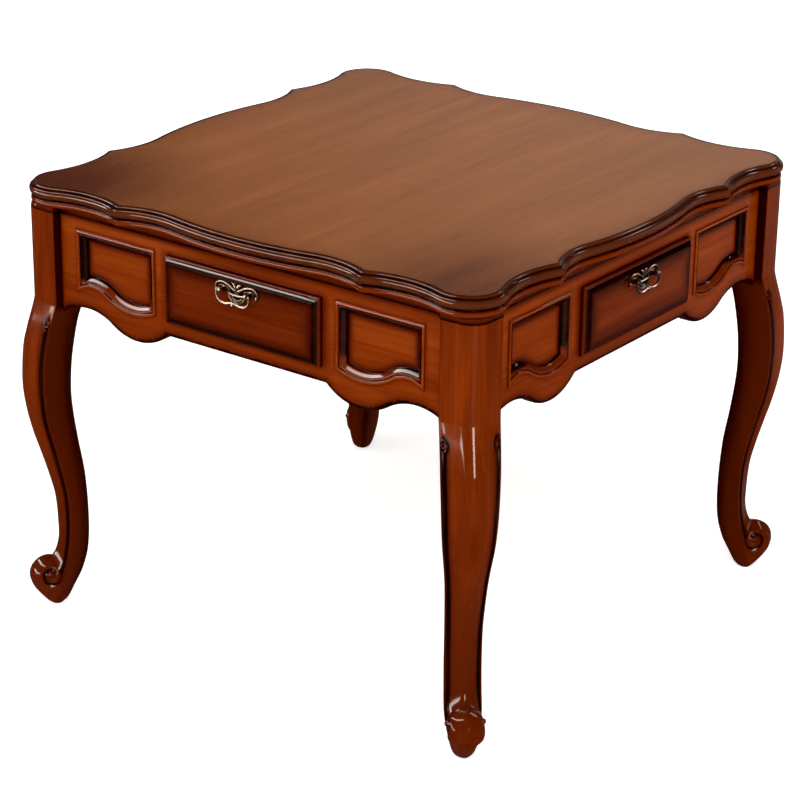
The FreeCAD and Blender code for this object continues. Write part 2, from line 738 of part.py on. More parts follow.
def aprons():
    """Four aprons with tenons, a drawer opening and two recessed panels."""
    board = apron_outline().extrude(Vector(0, size("apron_thick"), 0))
    board.translate(Vector(0, -size("apron_face"), 0))
    recesses = both_panels(recess_prism())
    for quarter, side in enumerate(SIDES):
        blank = feature(f"apron_board_{side}", board)
        tenon = box(f"tenon_{side}",
                    ("-post_inner - tenon_long", "-apron_face + tenon_setback", "tenon_foot"),
                    ("post_inner + tenon_long", "-apron_face + tenon_setback + tenon_thick",
                     "apron_top - tenon_drop"))
        joined = fuse(f"apron_joined_{side}", blank, tenon)
        opening = box(f"opening_{side}",
                      ("-opening_half", "-apron_face - 1", "front_foot + opening_lap"),
                      ("opening_half", "-apron_back + 1", "front_top - opening_lap"))
        pockets = [feature(f"recess_{side}_{spot}", shape) for spot, shape in enumerate(recesses)]
        node(f"apron_{side}", cut(f"apron_{side}", joined, opening, *pockets), quarter)


def panel_mouldings():
    """The beads and sloped mouldings applied round the two panels of each side."""
    face = size("apron_face")
    bead = size("bead_wide")
    slope = size("slope_wide")
    proud = size("bead_proud")
    deep = size("panel_deep")
    front = panel_face(0, face + proud).extrude(Vector(0, proud, 0))
    back = panel_face(bead, face).extrude(Vector(0, deep, 0))
    throat = Part.makeLoft([
        panel_face(bead, face + proud + 1).OuterWire,
        panel_face(bead, face + proud / 2).OuterWire,
        panel_face(bead + slope, face - deep - 1).OuterWire,
    ], True, True)
    moulding = front.fuse(back).cut(throat).removeSplitter()
    for quarter, side in enumerate(SIDES):
        pieces = [feature(f"moulding_{side}_{spot}", shape)
                  for spot, shape in enumerate(both_panels(moulding))]
        node(f"panel_mouldings_{side}", group(f"panel_mouldings_{side}", *pieces), quarter)


# ---------------------------------------------------------------- drawers

def drawer_front(side, quarter):
    """Lipped front with a bevelled edge, its tongue rebated for the sides and the bottom."""
    bevel = size("front_bevel")
    back = -size("apron_face") - size("front_gap")
    edge = back - size("front_edge")
    foot = size("front_foot")
    top = size("front_top")
    half = size("front_half")
    outlines = []
    for inset, out in ((0, back), (0, edge), (bevel, -size("front_face"))):
        corners = [(-half + inset, foot + inset), (half - inset, foot + inset),
                   (half - inset, top - inset), (-half + inset, top - inset)]
        spots = [Vector(x, out, z) for x, z in corners]
        outlines.append(Part.makePolygon(spots + spots[:1]))
    lip = feature(f"lip_{side}", Part.makeLoft(outlines, True, True))
    tongue = box(f"tongue_{side}",
                 ("-drawer_half", "-apron_face - front_gap", "front_foot + opening_lap + tongue_gap"),
                 ("drawer_half", "-tongue_back", "front_top - opening_lap - tongue_gap"))
    joined = fuse(f"front_joined_{side}", lip, tongue)
    rebates = [
        box(f"rebate_{side}_{hand}", (near, "-drawer_start", "front_foot"),
            (far, "-tongue_back + 1", "front_top"))
        for hand, near, far in hands("drawer_half - drawer_side - fit", "drawer_half + 1")
    ]
    groove = box(f"front_groove_{side}",
                 ("-drawer_half", "-tongue_back - bottom_groove", "drawer_foot + bottom_high - fit / 2"),
                 ("drawer_half", "-tongue_back + 1", "drawer_foot + bottom_high + bottom_thick + fit / 2"))
    holes = [
        rod(f"front_hole_{side}_{spot}", "pull_screw + fit / 2", "front_face - tongue_back + 10",
            (place, "-tongue_back + 5", "pull_high"), FORWARD)
        for spot, place in enumerate(("-pull_half", "pull_half"))
    ]
    node(f"drawer_front_{side}", cut(f"drawer_front_{side}", joined, *rebates, groove, *holes), quarter)


def hands(near, far):
    """A stretch on the right of the middle and its mirror image on the left."""
    return [("left", f"-({far})", f"-({near})"), ("right", near, far)]


def drawer_sides(side, quarter):
    """The two drawer sides, grooved for the bottom."""
    boards = hands("drawer_half - drawer_side", "drawer_half")
    grooves = hands("drawer_half - drawer_side - 1", "drawer_half - drawer_side + bottom_groove")
    for (hand, near, far), (_, groove_near, groove_far) in zip(boards, grooves):
        name = f"drawer_side_{side}_{hand}"
        board = box(f"{name}_board", (near, "-drawer_start", "drawer_foot"),
                    (far, "-drawer_end", "drawer_foot + drawer_high"))
        groove = box(f"{name}_groove",
                     (groove_near, "-drawer_start - 1", "drawer_foot + bottom_high - fit / 2"),
                     (groove_far, "-drawer_end + 1", "drawer_foot + bottom_high + bottom_thick + fit / 2"))
        node(name, cut(name, board, groove), quarter)


def drawer_back(side, quarter):
    """The back, between the sides and above the bottom."""
    name = f"drawer_back_{side}"
    board = box(f"{name}_board",
                ("-drawer_half + drawer_side", "-drawer_end - drawer_side",
                 "drawer_foot + bottom_high + bottom_thick + fit / 2"),
                ("drawer_half - drawer_side", "-drawer_end", "drawer_foot + drawer_high"))
    node(name, group(name, board), quarter)


def drawer_bottom(side, quarter):
    """The bottom, slid into its grooves under the back."""
    name = f"drawer_bottom_{side}"
    reach = "drawer_half - drawer_side + bottom_groove - fit"
    board = box(f"{name}_board",
                (f"-({reach})", "-tongue_back - bottom_groove + fit", "drawer_foot + bottom_high"),
                (reach, "-drawer_end", "drawer_foot + bottom_high + bottom_thick"))
    node(name, group(name, board), quarter)


def drawer_runners(side, quarter):
    """A channelled runner on each side of the drawer, and the block that stops it."""
    blocks = hands("drawer_half - drawer_side", "drawer_half + slide_gap + runner_web")
    channels = hands("drawer_half - drawer_side - 1", "drawer_half + slide_gap")
    pieces = []
    for (hand, near, far), (_, slot_near, slot_far) in zip(blocks, channels):
        name = f"runner_{side}_{hand}"
        block = box(f"{name}_block", (near, "-apron_back", "drawer_foot - runner_ledge"),
                    (far, "-drawer_end", "apron_top"))
        channel = box(f"{name}_channel", (slot_near, "-apron_back - 1", "drawer_foot - ride_gap"),
                      (slot_far, "-drawer_end + 1", "drawer_foot + drawer_high + slide_gap"))
        pieces.append(cut(name, block, channel))
    pieces.append(box(f"stop_{side}",
                      ("-stop_wide / 2", "-apron_back", "drawer_foot + drawer_high - stop_hold"),
                      ("stop_wide / 2", "-apron_back + stop_thick", "apron_top")))
    node(f"drawer_runners_{side}", group(f"drawer_runners_{side}", *pieces), quarter)


# ---------------------------------------------------------------- pulls

def plate_outline(out):
    """The scrolled backplate: a crown, two curled ends and a bowl below."""
    half = size("plate_half")
    high = size("pull_high")
    crown = size("plate_crown")
    bowl = size("plate_bowl")
    curl = size("plate_curl")
    neck = (half + curl) / 2 - 3
    right = [(0, crown), (curl + 2, crown - 2), (2 * curl - 1, crown - 10), (neck, crown - 9),
             (half - 2 * curl, crown - 1), (half - curl, crown), (half, crown - curl),
             (half - curl / 2, crown - 2 * curl), (half - curl, crown - 2 * curl - 1),
             (half - 2 * curl, crown - 2 * curl - 2), (neck, 7 - bowl), (2 * curl - 2, 1 - bowl),
             (0, -bowl)]
    left = [(-x, z) for x, z in reversed(right[1:-1])]
    spots = [Vector(x, out, high + z) for x, z in right + left]
    curve = Part.BSplineCurve()
    curve.interpolate(spots, PeriodicFlag=True)
    return Part.Face(Part.Wire([curve.toShape()]))


def backplate(side, quarter):
    """Backplate with two posts, cross-bored for the bail's pins."""
    outline = plate_outline(-size("front_face"))
    plate = feature(f"plate_{side}", outline.extrude(Vector(0, -size("plate_thick"), 0)))
    posts = [
        rod(f"pull_post_{side}_{spot}", "post_radius", "plate_thick + post_long",
            (place, "-front_face", "pull_high"), FORWARD)
        for spot, place in enumerate(("-pull_half", "pull_half"))
    ]
    joined = fuse(f"plate_joined_{side}", plate, *posts)
    bore = rod(f"pin_bore_{side}", "bail_pin + pin_gap", "2 * pull_half + 20",
               ("-pull_half - 10", "-pivot_out", "pull_high"), SIDEWAYS)
    screws = [
        rod(f"plate_hole_{side}_{spot}", "pull_screw + fit / 2", "plate_thick + 2",
            (place, "-front_face + 1", "pull_high"), FORWARD)
        for spot, place in enumerate(("-pull_half", "pull_half"))
    ]
    node(f"backplate_{side}", cut(f"backplate_{side}", joined, bore, *screws), quarter)


def bail(side, quarter):
    """Swinging bail: two arms and a level grip, with a pin in each post."""
    radius = size("bail_radius")
    out = -size("pivot_out")
    high = size("pull_high")
    foot = high - size("bail_drop")
    corner = size("bail_corner")
    arm = size("pull_half") + size("post_radius") + size("fit") + radius
    shoulder = Vector(arm, out, high)
    bend_start = Vector(arm, out, foot + corner)
    bend_middle = Vector(arm - corner * (1 - ROOT_TWO / 2), out, foot + corner * (1 - ROOT_TWO / 2))
    bend_end = Vector(arm - corner, out, foot)
    path = Part.Wire([Part.makeLine(shoulder, bend_start),
                      Part.Arc(bend_start, bend_middle, bend_end).toShape(),
                      Part.makeLine(bend_end, Vector(0, out, foot))])
    ring = Part.Wire([Part.makeCircle(radius, shoulder, Z_AXIS)])
    half = path.makePipeShell([ring], True, False)
    knuckle = Part.makeSphere(radius, shoulder)
    pin_long = radius + size("fit") + 2 * size("post_radius")
    pin = Part.makeCylinder(size("bail_pin"), pin_long, shoulder, Vector(-1, 0, 0))
    right_half = half.fuse([knuckle, pin])
    left_half = right_half.mirror(Vector(0, 0, 0), Vector(1, 0, 0))
    node(f"bail_{side}", feature(f"bail_{side}", right_half.fuse(left_half).removeSplitter()), quarter)


def pull_screws(side, quarter):
    """Two screws through the drawer front into the posts."""
    pieces = []
    for spot, place in enumerate(("-pull_half", "pull_half")):
        shank = rod(f"pull_shank_{side}_{spot}", "pull_screw", "plate_face - tongue_back",
                    (place, "-tongue_back", "pull_high"), FORWARD)
        head = rod(f"pull_head_{side}_{spot}", "pull_screw_head", "head_thick",
                   (place, "-tongue_back + head_thick", "pull_high"), FORWARD)
        pieces.append(fuse(f"pull_screw_{side}_{spot}", shank, head))
    node(f"pull_screws_{side}", group(f"pull_screws_{side}", *pieces), quarter)


# ---------------------------------------------------------------- corner blocks and fasteners

def corner_blocks():
    """Blocks glued between two aprons and bolted to the post, bored for the bolt and screws."""
    inner = size("apron_back")
    post = size("post_inner")
    end = size("block_end")
    corners = [(post, post), (post, inner), (end, inner), (inner, end), (inner, post)]
    spots = [Vector(x, y, size("block_foot")) for x, y in corners]
    prism = Part.Face(Part.makePolygon(spots + spots[:1])).extrude(Vector(0, 0, size("block_high")))
    pieces = []
    for quarter, corner in enumerate(CORNERS):
        blank = feature(f"block_{corner}", prism)
        bore = rod(f"block_bore_{corner}", "bolt_radius + fit", "2 * block_reach",
                   ("block_end", "block_end", "block_middle"), diagonal_turn())
        shafts = [
            rod(f"block_hole_{corner}_{spot}", "screw_radius + fit", "block_high + 2",
                (across, along, "block_foot - 1"), FreeCAD.Rotation())
            for spot, (across, along) in enumerate(corner_screw_places())
        ]
        piece = cut(f"corner_block_{corner}", blank, bore, *shafts)
        piece.Placement = turn(quarter)
        pieces.append(piece)
    node("corner_blocks", group("corner_blocks", *pieces))


def corner_screw_places():
    """The two board screws in the back right corner block."""
    near = "post_inner - screw_back"
    out = "apron_back - screw_inset"
    return [(near, out), (out, near)]


def screw_places():
    """All eight board screws, turned round the table."""
    spots = []
    for across, along in corner_screw_places():
        spots += [(across, along), (f"-({along})", across),
                  (f"-({across})", f"-({along})"), (along, f"-({across})")]
    return spots


def board_screws():
    """Wood screws up through the corner blocks into the game board."""
    pieces = []
    for spot, (across, along) in enumerate(screw_places()):
        shank = rod(f"board_shank_{spot}", "screw_radius", "block_high + screw_bite",
                    (across, along, "block_foot"), FreeCAD.Rotation())
        head = rod(f"board_head_{spot}", "screw_head", "head_thick",
                   (across, along, "block_foot - head_thick"), FreeCAD.Rotation())
        pieces.append(fuse(f"board_screw_{spot}", shank, head))
    node("board_screws", group("board_screws", *pieces))


def bolt_start():
    """Where the bolts leave their corner blocks, as a distance along the diagonal."""
    return (size("apron_back") + size("block_end")) / ROOT_TWO


def at_corners(name, shape):
    """A shape made for the back right corner, repeated at all four as one group."""
    pieces = []
    for quarter, corner in enumerate(CORNERS):
        piece = feature(f"{name}_{corner}", shape)
        piece.Placement = turn(quarter)
        pieces.append(piece)
    node(name, group(name, *pieces))


def hanger_bolts():
    """One bolt in each post, standing out through its corner block."""
    start = bolt_start() - size("bolt_tail")
    length = size("post_inner") * ROOT_TWO + size("bolt_grip") - start
    at_corners("hanger_bolts", Part.makeCylinder(
        size("bolt_radius"), length, diagonal((start, 0), size("block_middle")), Vector(1, 1, 0)))


def nuts_and_washers():
    """A nut and washer on each hanger bolt, against the corner block."""
    washer_thick = size("washer_thick")
    nut_thick = size("nut_thick")
    middle = size("block_middle")
    washer_start = bolt_start() - washer_thick
    nut_start = washer_start - nut_thick
    corner_radius = size("nut_across") / math.sqrt(3)
    hexagon = []
    for step in range(7):
        angle = math.radians(60 * step)
        hexagon.append(Vector(corner_radius * math.cos(angle), corner_radius * math.sin(angle), 0))
    nut = Part.Face(Part.makePolygon(hexagon)).extrude(Vector(0, 0, nut_thick))
    nut.Placement = FreeCAD.Placement(diagonal((nut_start, 0), middle), diagonal_turn())
    washer = Part.makeCylinder(size("washer_radius"), washer_thick,
                               diagonal((washer_start, 0), middle), Vector(1, 1, 0))
    bore = Part.makeCylinder(size("bolt_radius") + size("fit") / 2, nut_thick + washer_thick + 2,
                             diagonal((nut_start - 1, 0), middle), Vector(1, 1, 0))
    at_corners("bolt_nuts", nut.cut(bore))
    at_corners("bolt_washers", washer.cut(bore))


# ---------------------------------------------------------------- build, check and write

def build():
    """Make every sub-part."""
    fill_sheet()
    dining_top()
    locating_dowels()
    game_rim()
    game_board()
    felt()
    legs()
    aprons()
    panel_mouldings()
    for quarter, side in enumerate(SIDES):
        drawer_front(side, quarter)
        drawer_sides(side, quarter)
        drawer_back(side, quarter)
        drawer_bottom(side, quarter)
        drawer_runners(side, quarter)
        backplate(side, quarter)
        bail(side, quarter)
        pull_screws(side, quarter)
    corner_blocks()
    board_screws()
    hanger_bolts()
    nuts_and_washers()
    doc.recompute()


def check():
    """Stop if any object failed or any sub-part is empty or broken."""
    for thing in doc.Objects:
        if "Invalid" in thing.State or "Error" in thing.State:
            raise RuntimeError(f"{thing.Label} failed: {thing.State}")
    for thing in nodes:
        if thing.Shape.isNull() or not thing.Shape.isValid() or not thing.Shape.Solids:
            raise RuntimeError(f"{thing.Label} has no valid solid")


def write():
    """Write one STEP file for each sub-part."""
    os.makedirs("parts", exist_ok=True)
    for thing in nodes:
        thing.Shape.exportStep(f"parts/{thing.Label}.step")
        bounds = thing.Shape.BoundBox
        print(f"{thing.Label}: {len(thing.Shape.Solids)} solid(s), {thing.Shape.Volume / 1000:.1f} cm3, "
              f"z {bounds.ZMin:.1f} to {bounds.ZMax:.1f}")


build()
check()
write()
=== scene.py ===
"""Looks of the square game table: its camera, light, finishes and detailed pieces.

Pieces are worked out in millimetres for the front side or the back right corner, turned to
their own side in the mesh and stored in metres.
"""
import json
import math

import bmesh
import bpy
import numpy as np
from mathutils import Matrix, Vector
from mathutils.geometry import delaunay_2d_cdt

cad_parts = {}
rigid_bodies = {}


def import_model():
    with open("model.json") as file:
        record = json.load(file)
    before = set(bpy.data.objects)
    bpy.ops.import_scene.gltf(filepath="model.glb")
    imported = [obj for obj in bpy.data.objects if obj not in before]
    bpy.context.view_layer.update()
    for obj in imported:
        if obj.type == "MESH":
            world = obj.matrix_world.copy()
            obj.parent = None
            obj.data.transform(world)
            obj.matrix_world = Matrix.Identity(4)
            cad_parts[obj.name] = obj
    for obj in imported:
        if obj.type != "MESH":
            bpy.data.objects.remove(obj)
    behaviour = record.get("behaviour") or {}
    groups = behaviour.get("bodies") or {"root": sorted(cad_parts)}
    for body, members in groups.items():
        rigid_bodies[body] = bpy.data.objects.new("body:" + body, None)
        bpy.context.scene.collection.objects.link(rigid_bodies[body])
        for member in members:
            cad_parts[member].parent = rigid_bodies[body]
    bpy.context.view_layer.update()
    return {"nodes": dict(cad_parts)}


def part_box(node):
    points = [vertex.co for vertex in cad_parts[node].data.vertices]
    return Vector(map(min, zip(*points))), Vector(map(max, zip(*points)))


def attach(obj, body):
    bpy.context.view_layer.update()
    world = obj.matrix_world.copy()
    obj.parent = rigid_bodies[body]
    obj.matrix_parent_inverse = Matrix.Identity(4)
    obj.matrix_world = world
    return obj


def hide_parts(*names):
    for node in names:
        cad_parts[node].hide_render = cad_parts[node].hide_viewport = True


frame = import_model()

MM = 0.001
SIDES = ["front", "right", "back", "left"]
CORNERS = ["back_right", "back_left", "front_left", "front_right"]
ROOT_TWO = math.sqrt(2)

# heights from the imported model, and the reaches of its posts and aprons
TABLE_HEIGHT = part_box("dining_top")[1].z / MM
RIM_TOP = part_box("game_rim")[1].z / MM
APRON_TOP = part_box("apron_front")[1].z / MM
APRON_FACE = 437
APRON_BACK = 415
POST_OUTER = 453
POST_INNER = 386
POST_RIDGE = 32
INNER_CORNER = POST_INNER * ROOT_TWO

# the wavy plan of the top
EDGE_REACH = 462
VALLEY_AT = 170
VALLEY_DEPTH = 18
TIP_AT = 243
TIP_PROUD = 1
DIP_AT = 318
DIP_DEPTH = 16
BROW_INSET = 6

# drawer fronts, openings and panels
FRONT_HALF = 155.5
FRONT_TOP = 694
FRONT_FOOT = 581
OPENING_LAP = 11
OPENING_HALF = 143
PANEL_NEAR = 182
PANEL_FAR = 349
PANEL_TOP = 695
PANEL_DEEP = 9
PANEL_LOBE = (230.9, 573)
PANEL_ARCH = (317.9, 600)
PANEL_LOBE_RADIUS = 104

# pulls
PULL_HIGH = 671
PULL_HALF = 26
FRONT_FACE = 451
PIVOT_OUT = 462.4


# ---- shapes

class Shape:
    """Points in millimetres, the stain and painted shade on each, and the faces between them."""

    def __init__(self):
        self.points = []
        self.stains_and_shades = []
        self.faces = []

    def row(self, points, stain):
        """Add points and give back their numbers."""
        start = len(self.points)
        self.points += [tuple(point) for point in points]
        self.stains_and_shades += spread(stain, len(points))
        return list(range(start, start + len(points)))

    def bridge(self, first, second):
        """Quads between two closed rows of numbers."""
        for index in range(len(first)):
            after = (index + 1) % len(first)
            self.faces.append((first[index], first[after], second[after], second[index]))

    def loft(self, rows, ring=False, caps=False):
        """A skin through closed rows of points; a ring joins the last row to the first."""
        numbered = [self.row(points, stain) for points, stain in rows]
        for first, second in zip(numbered, numbered[1:]):
            self.bridge(first, second)
        if ring:
            self.bridge(numbered[-1], numbered[0])
        if caps:
            self.fan(numbered[0])
            self.fan(numbered[-1])
        return numbered

    def fan(self, numbers):
        """Close a row with triangles to its middle."""
        middle = np.mean([self.points[number] for number in numbers], axis=0)
        stain = float(np.mean([self.stains_and_shades[number] for number in numbers]))
        hub = self.row([middle], stain)[0]
        for index, number in enumerate(numbers):
            self.faces.append((number, numbers[(index + 1) % len(numbers)], hub))

    def join(self, other):
        """Take in another shape's points and faces."""
        start = len(self.points)
        self.points += other.points
        self.stains_and_shades += other.stains_and_shades
        self.faces += [tuple(start + number for number in face) for face in other.faces]

    def mirrored(self):
        """The same shape on the other side of the middle."""
        twin = Shape()
        twin.points = [(-x, y, z) for x, y, z in self.points]
        twin.stains_and_shades = list(self.stains_and_shades)
        twin.faces = [face[::-1] for face in self.faces]
        return twin


def spread(stain, count):
    """A stain and painted shade value for each of some points: one number for all of them, or a list as
    it is.
    """
    return list(stain) if hasattr(stain, "__len__") else [stain] * count


def placed(name, data):
    """A new object in the scene."""
    thing = bpy.data.objects.new(name, data)
    bpy.context.scene.collection.objects.link(thing)
    return thing


GRAIN_ORDER = {"x": (0, 1, 2), "y": (1, 0, 2), "z": (2, 0, 1)}
GRAIN_SHIFT = 0.73
WELD = 2e-6
SNAP = 1e-5
FAR = 1e9
CAP_SHARES = (0.5, 0.87)
LEAST_RADIUS = 0.02
pieces = []


def piece(name, shape, body, material, node, quarter=0, grain="x", sharp=38):
    """Make one shape a piece of the scene in a node's place, turned to its own side."""
    turn = Matrix.Rotation(math.radians(90 * quarter), 3, "Z")
    mesh = bpy.data.meshes.new(name)
    mesh.from_pydata([turn @ (Vector(point) * MM) for point in shape.points], [], shape.faces)
    # the stain attribute holds the wood's stain together with painted shade
    stain = mesh.attributes.new("stain", "FLOAT", "POINT")
    stain.data.foreach_set("value", np.array(shape.stains_and_shades, np.float32))
    order = GRAIN_ORDER[grain]
    along = np.array(shape.points, np.float32)[:, order] * MM
    along += GRAIN_SHIFT * len(pieces)
    vector = mesh.attributes.new("grain", "FLOAT_VECTOR", "POINT")
    vector.data.foreach_set("vector", along.ravel())
    work = bmesh.new()
    work.from_mesh(mesh)
    bmesh.ops.remove_doubles(work, verts=work.verts, dist=WELD)
    bmesh.ops.recalc_face_normals(work, faces=work.faces)
    work.to_mesh(mesh)
    work.free()
    mesh.shade_smooth()
    mesh.set_sharp_from_angle(angle=math.radians(sharp))
    mesh.materials.append(material)
    thing = placed(name, mesh)
    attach(thing, body)
    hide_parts(node)
    pieces.append(thing)


def through(table, place):
    """The value at a place on a smooth curve through (place, value) pairs."""
    places = [row[0] for row in table]
    values = [row[1] for row in table]
    if place <= places[0]:
        return values[0]
    if place >= places[-1]:
        return values[-1]
    index = max(i for i in range(len(table) - 1) if places[i] <= place)

    def slope(i):
        low = max(i - 1, 0)
        high = min(i + 1, len(table) - 1)
        return (values[high] - values[low]) / (places[high] - places[low])

    gap = places[index + 1] - places[index]
    share = (place - places[index]) / gap
    square = share * share
    cube = square * share
    return (values[index] * (2 * cube - 3 * square + 1)
            + values[index + 1] * (3 * square - 2 * cube)
            + gap * slope(index) * (cube - 2 * square + share)
            + gap * slope(index + 1) * (cube - square))


def smooth(value):
    """An even rise from 0 to 1."""
    share = min(max(value, 0.0), 1.0)
    return share * share * (3 - 2 * share)


def distances(points, line, closed=True):
    """The distance from each point to a line of straight stretches."""
    points = np.asarray(points, float)
    line = np.asarray(line, float)
    best = np.full(len(points), FAR)
    count = len(line) if closed else len(line) - 1
    for index in range(count):
        start = line[index]
        reach = line[(index + 1) % len(line)] - start
        span = max(float(reach @ reach), 1e-12)
        share = np.clip(((points - start) @ reach) / span, 0, 1)
        gap = points - start - share[:, None] * reach
        best = np.minimum(best, np.hypot(gap[:, 0], gap[:, 1]))
    return best


def inside(points, loops):
    """Which points lie within the first loop and outside the holes."""
    across, up = points[:, 0], points[:, 1]
    odd = np.zeros(len(points), bool)
    for loop in loops:
        for (x1, z1), (x2, z2) in zip(loop, list(loop[1:]) + [loop[0]]):
            if z1 != z2:
                odd ^= ((z1 > up) != (z2 > up)) & (across < (x2 - x1) * (up - z1) / (z2 - z1) + x1)
    return odd


def sheet_of(shape, loops, place, stain_of, fine=3.0, coarse=12.0, margin=15.0):
    """A flat face with holes: fine triangles within a margin of its edges, coarse ones elsewhere."""
    low = np.min(loops[0], axis=0)
    high = np.max(loops[0], axis=0)
    filling = []
    for step, near, far in ((fine, 0.7 * fine, margin), (coarse, margin + 0.6 * coarse, FAR)):
        across = np.arange(low[0] + step / 2, high[0], step)
        up = np.arange(low[1] + step / 2, high[1], step)
        grid = np.array([(x, z) for z in up for x in across])
        grid = grid[inside(grid, loops)]
        gap = np.min([distances(grid, loop) for loop in loops], axis=0)
        filling += [tuple(point) for point in grid[(gap > near) & (gap < far)]]
    spots = []
    edges = []
    for loop in loops:
        start = len(spots)
        spots += [tuple(point) for point in loop]
        edges += [(start + i, start + (i + 1) % len(loop)) for i in range(len(loop))]
    spots += filling
    made = delaunay_2d_cdt([Vector(spot) for spot in spots], edges, [], 0, SNAP)
    corners = np.array([tuple(point) for point in made[0]])
    middles = np.array([corners[list(face)].mean(axis=0) for face in made[2]])
    kept = inside(middles, loops)
    numbers = shape.row([place(x, z) for x, z in corners], stain_of(corners))
    for face, keep in zip(made[2], kept):
        if keep:
            shape.faces.append(tuple(numbers[corner] for corner in face))


def arc_points(centre, radius, begin, finish, count):
    """Points on an arc without its last one; bearings are in degrees."""
    spots = []
    for step in range(count):
        angle = math.radians(begin + (finish - begin) * step / count)
        spots.append((centre[0] + radius * math.cos(angle), centre[1] + radius * math.sin(angle)))
    return spots


def line_points(start, finish, count):
    """Points on a straight line without its last one."""
    return [(start[0] + (finish[0] - start[0]) * step / count,
             start[1] + (finish[1] - start[1]) * step / count) for step in range(count)]


def spaced(corners, count):
    """Evenly spaced points along each side of a closed outline."""
    loop = []
    for corner, after in zip(corners, corners[1:] + corners[:1]):
        loop += line_points(corner, after, count)
    return loop


def bearing(centre, point):
    """The direction from a centre to a point, in degrees."""
    return math.degrees(math.atan2(point[1] - centre[1], point[0] - centre[0]))


def moved_in(line, distance):
    """An open line moved square to itself, to its left."""
    spots = []
    for index, point in enumerate(line):
        before = line[max(index - 1, 0)]
        after = line[min(index + 1, len(line) - 1)]
        run = math.hypot(after[0] - before[0], after[1] - before[1])
        spots.append((point[0] - (after[1] - before[1]) / run * distance,
                      point[1] + (after[0] - before[0]) / run * distance))
    return spots


def catmull(points, steps):
    """A smooth line through points, each given as any number of coordinates."""
    points = [np.array(point, float) for point in points]
    points = [2 * points[0] - points[1]] + points + [2 * points[-1] - points[-2]]
    smooth_line = []
    for index in range(1, len(points) - 2):
        p0, p1, p2, p3 = points[index - 1:index + 3]
        for step in range(steps):
            t = step / steps
            smooth_line.append(0.5 * (2 * p1 + (p2 - p0) * t + (2 * p0 - 5 * p1 + 4 * p2 - p3) * t ** 2
                                      + (3 * p1 - p0 - 3 * p2 + p3) * t ** 3))
    smooth_line.append(points[-2])
    return smooth_line


def tube(shape, points, radii, stain, steps=6, around=12, flat=1.0):
    """A round bar along a smooth line, with a radius at each point and rounded ends."""
    line = catmull([tuple(point) + (radius,) for point, radius in zip(points, radii)], steps)
    centres = [Vector(spot[:3]) for spot in line]
    rings = []
    normal = None
    for index, centre in enumerate(centres):
        ahead = centres[min(index + 1, len(centres) - 1)] - centres[max(index - 1, 0)]
        ahead.normalize()
        if normal is None:
            normal = ahead.orthogonal().normalized()
        normal = (normal - ahead * normal.dot(ahead)).normalized()
        side = ahead.cross(normal)
        radius = float(line[index][3])
        rings.append(ring_about(centre, normal, side, radius, around, flat))
        if index == 0:
            begin = (centre, -ahead, normal.copy(), side, radius)
    finish = (centre, ahead, normal, side, radius)
    for share in CAP_SHARES:
        rings.insert(0, cap_ring(*begin, share, around, flat))
        rings.append(cap_ring(*finish, share, around, flat))
    shape.loft([(ring, stain) for ring in rings], caps=True)


def cap_ring(centre, away, first, second, radius, share, around, flat):
    """A ring of a bar's rounded end, at a share of the radius beyond its last point."""
    return ring_about(centre + away * radius * share, first, second,
                      radius * math.sqrt(1 - share ** 2), around, flat)


def ring_about(centre, first, second, radius, around, flat=1.0):
    """Points round a centre; flat squeezes them along Y."""
    spots = []
    for step in range(around):
        angle = 2 * math.pi * step / around
        point = first * math.cos(angle) * radius + second * math.sin(angle) * radius
        point.y *= flat
        spots.append(tuple(centre + point))
    return spots


def lathe(shape, centre, axis, profile, stain, around=24):
    """A turned form: the profile gives (along the axis, radius) pairs, and stain may vary along it."""
    axis = Vector(axis).normalized()
    first = axis.orthogonal().normalized()
    second = axis.cross(first)
    rows = []
    for (along, radius), shade in zip(profile, spread(stain, len(profile))):
        middle = Vector(centre) + axis * along
        rows.append((ring_about(middle, first, second, max(radius, LEAST_RADIUS), around), shade))
    shape.loft(rows, caps=True)


# ---- materials

def tone(red, green, blue):
    """A colour as the eye sees it, 0 to 255, in the renderer's linear numbers."""
    linear = []
    for value in (red, green, blue):
        share = value / 255
        linear.append(share / 12.92 if share <= 0.04045 else ((share + 0.055) / 1.055) ** 2.4)
    return (*linear, 1.0)


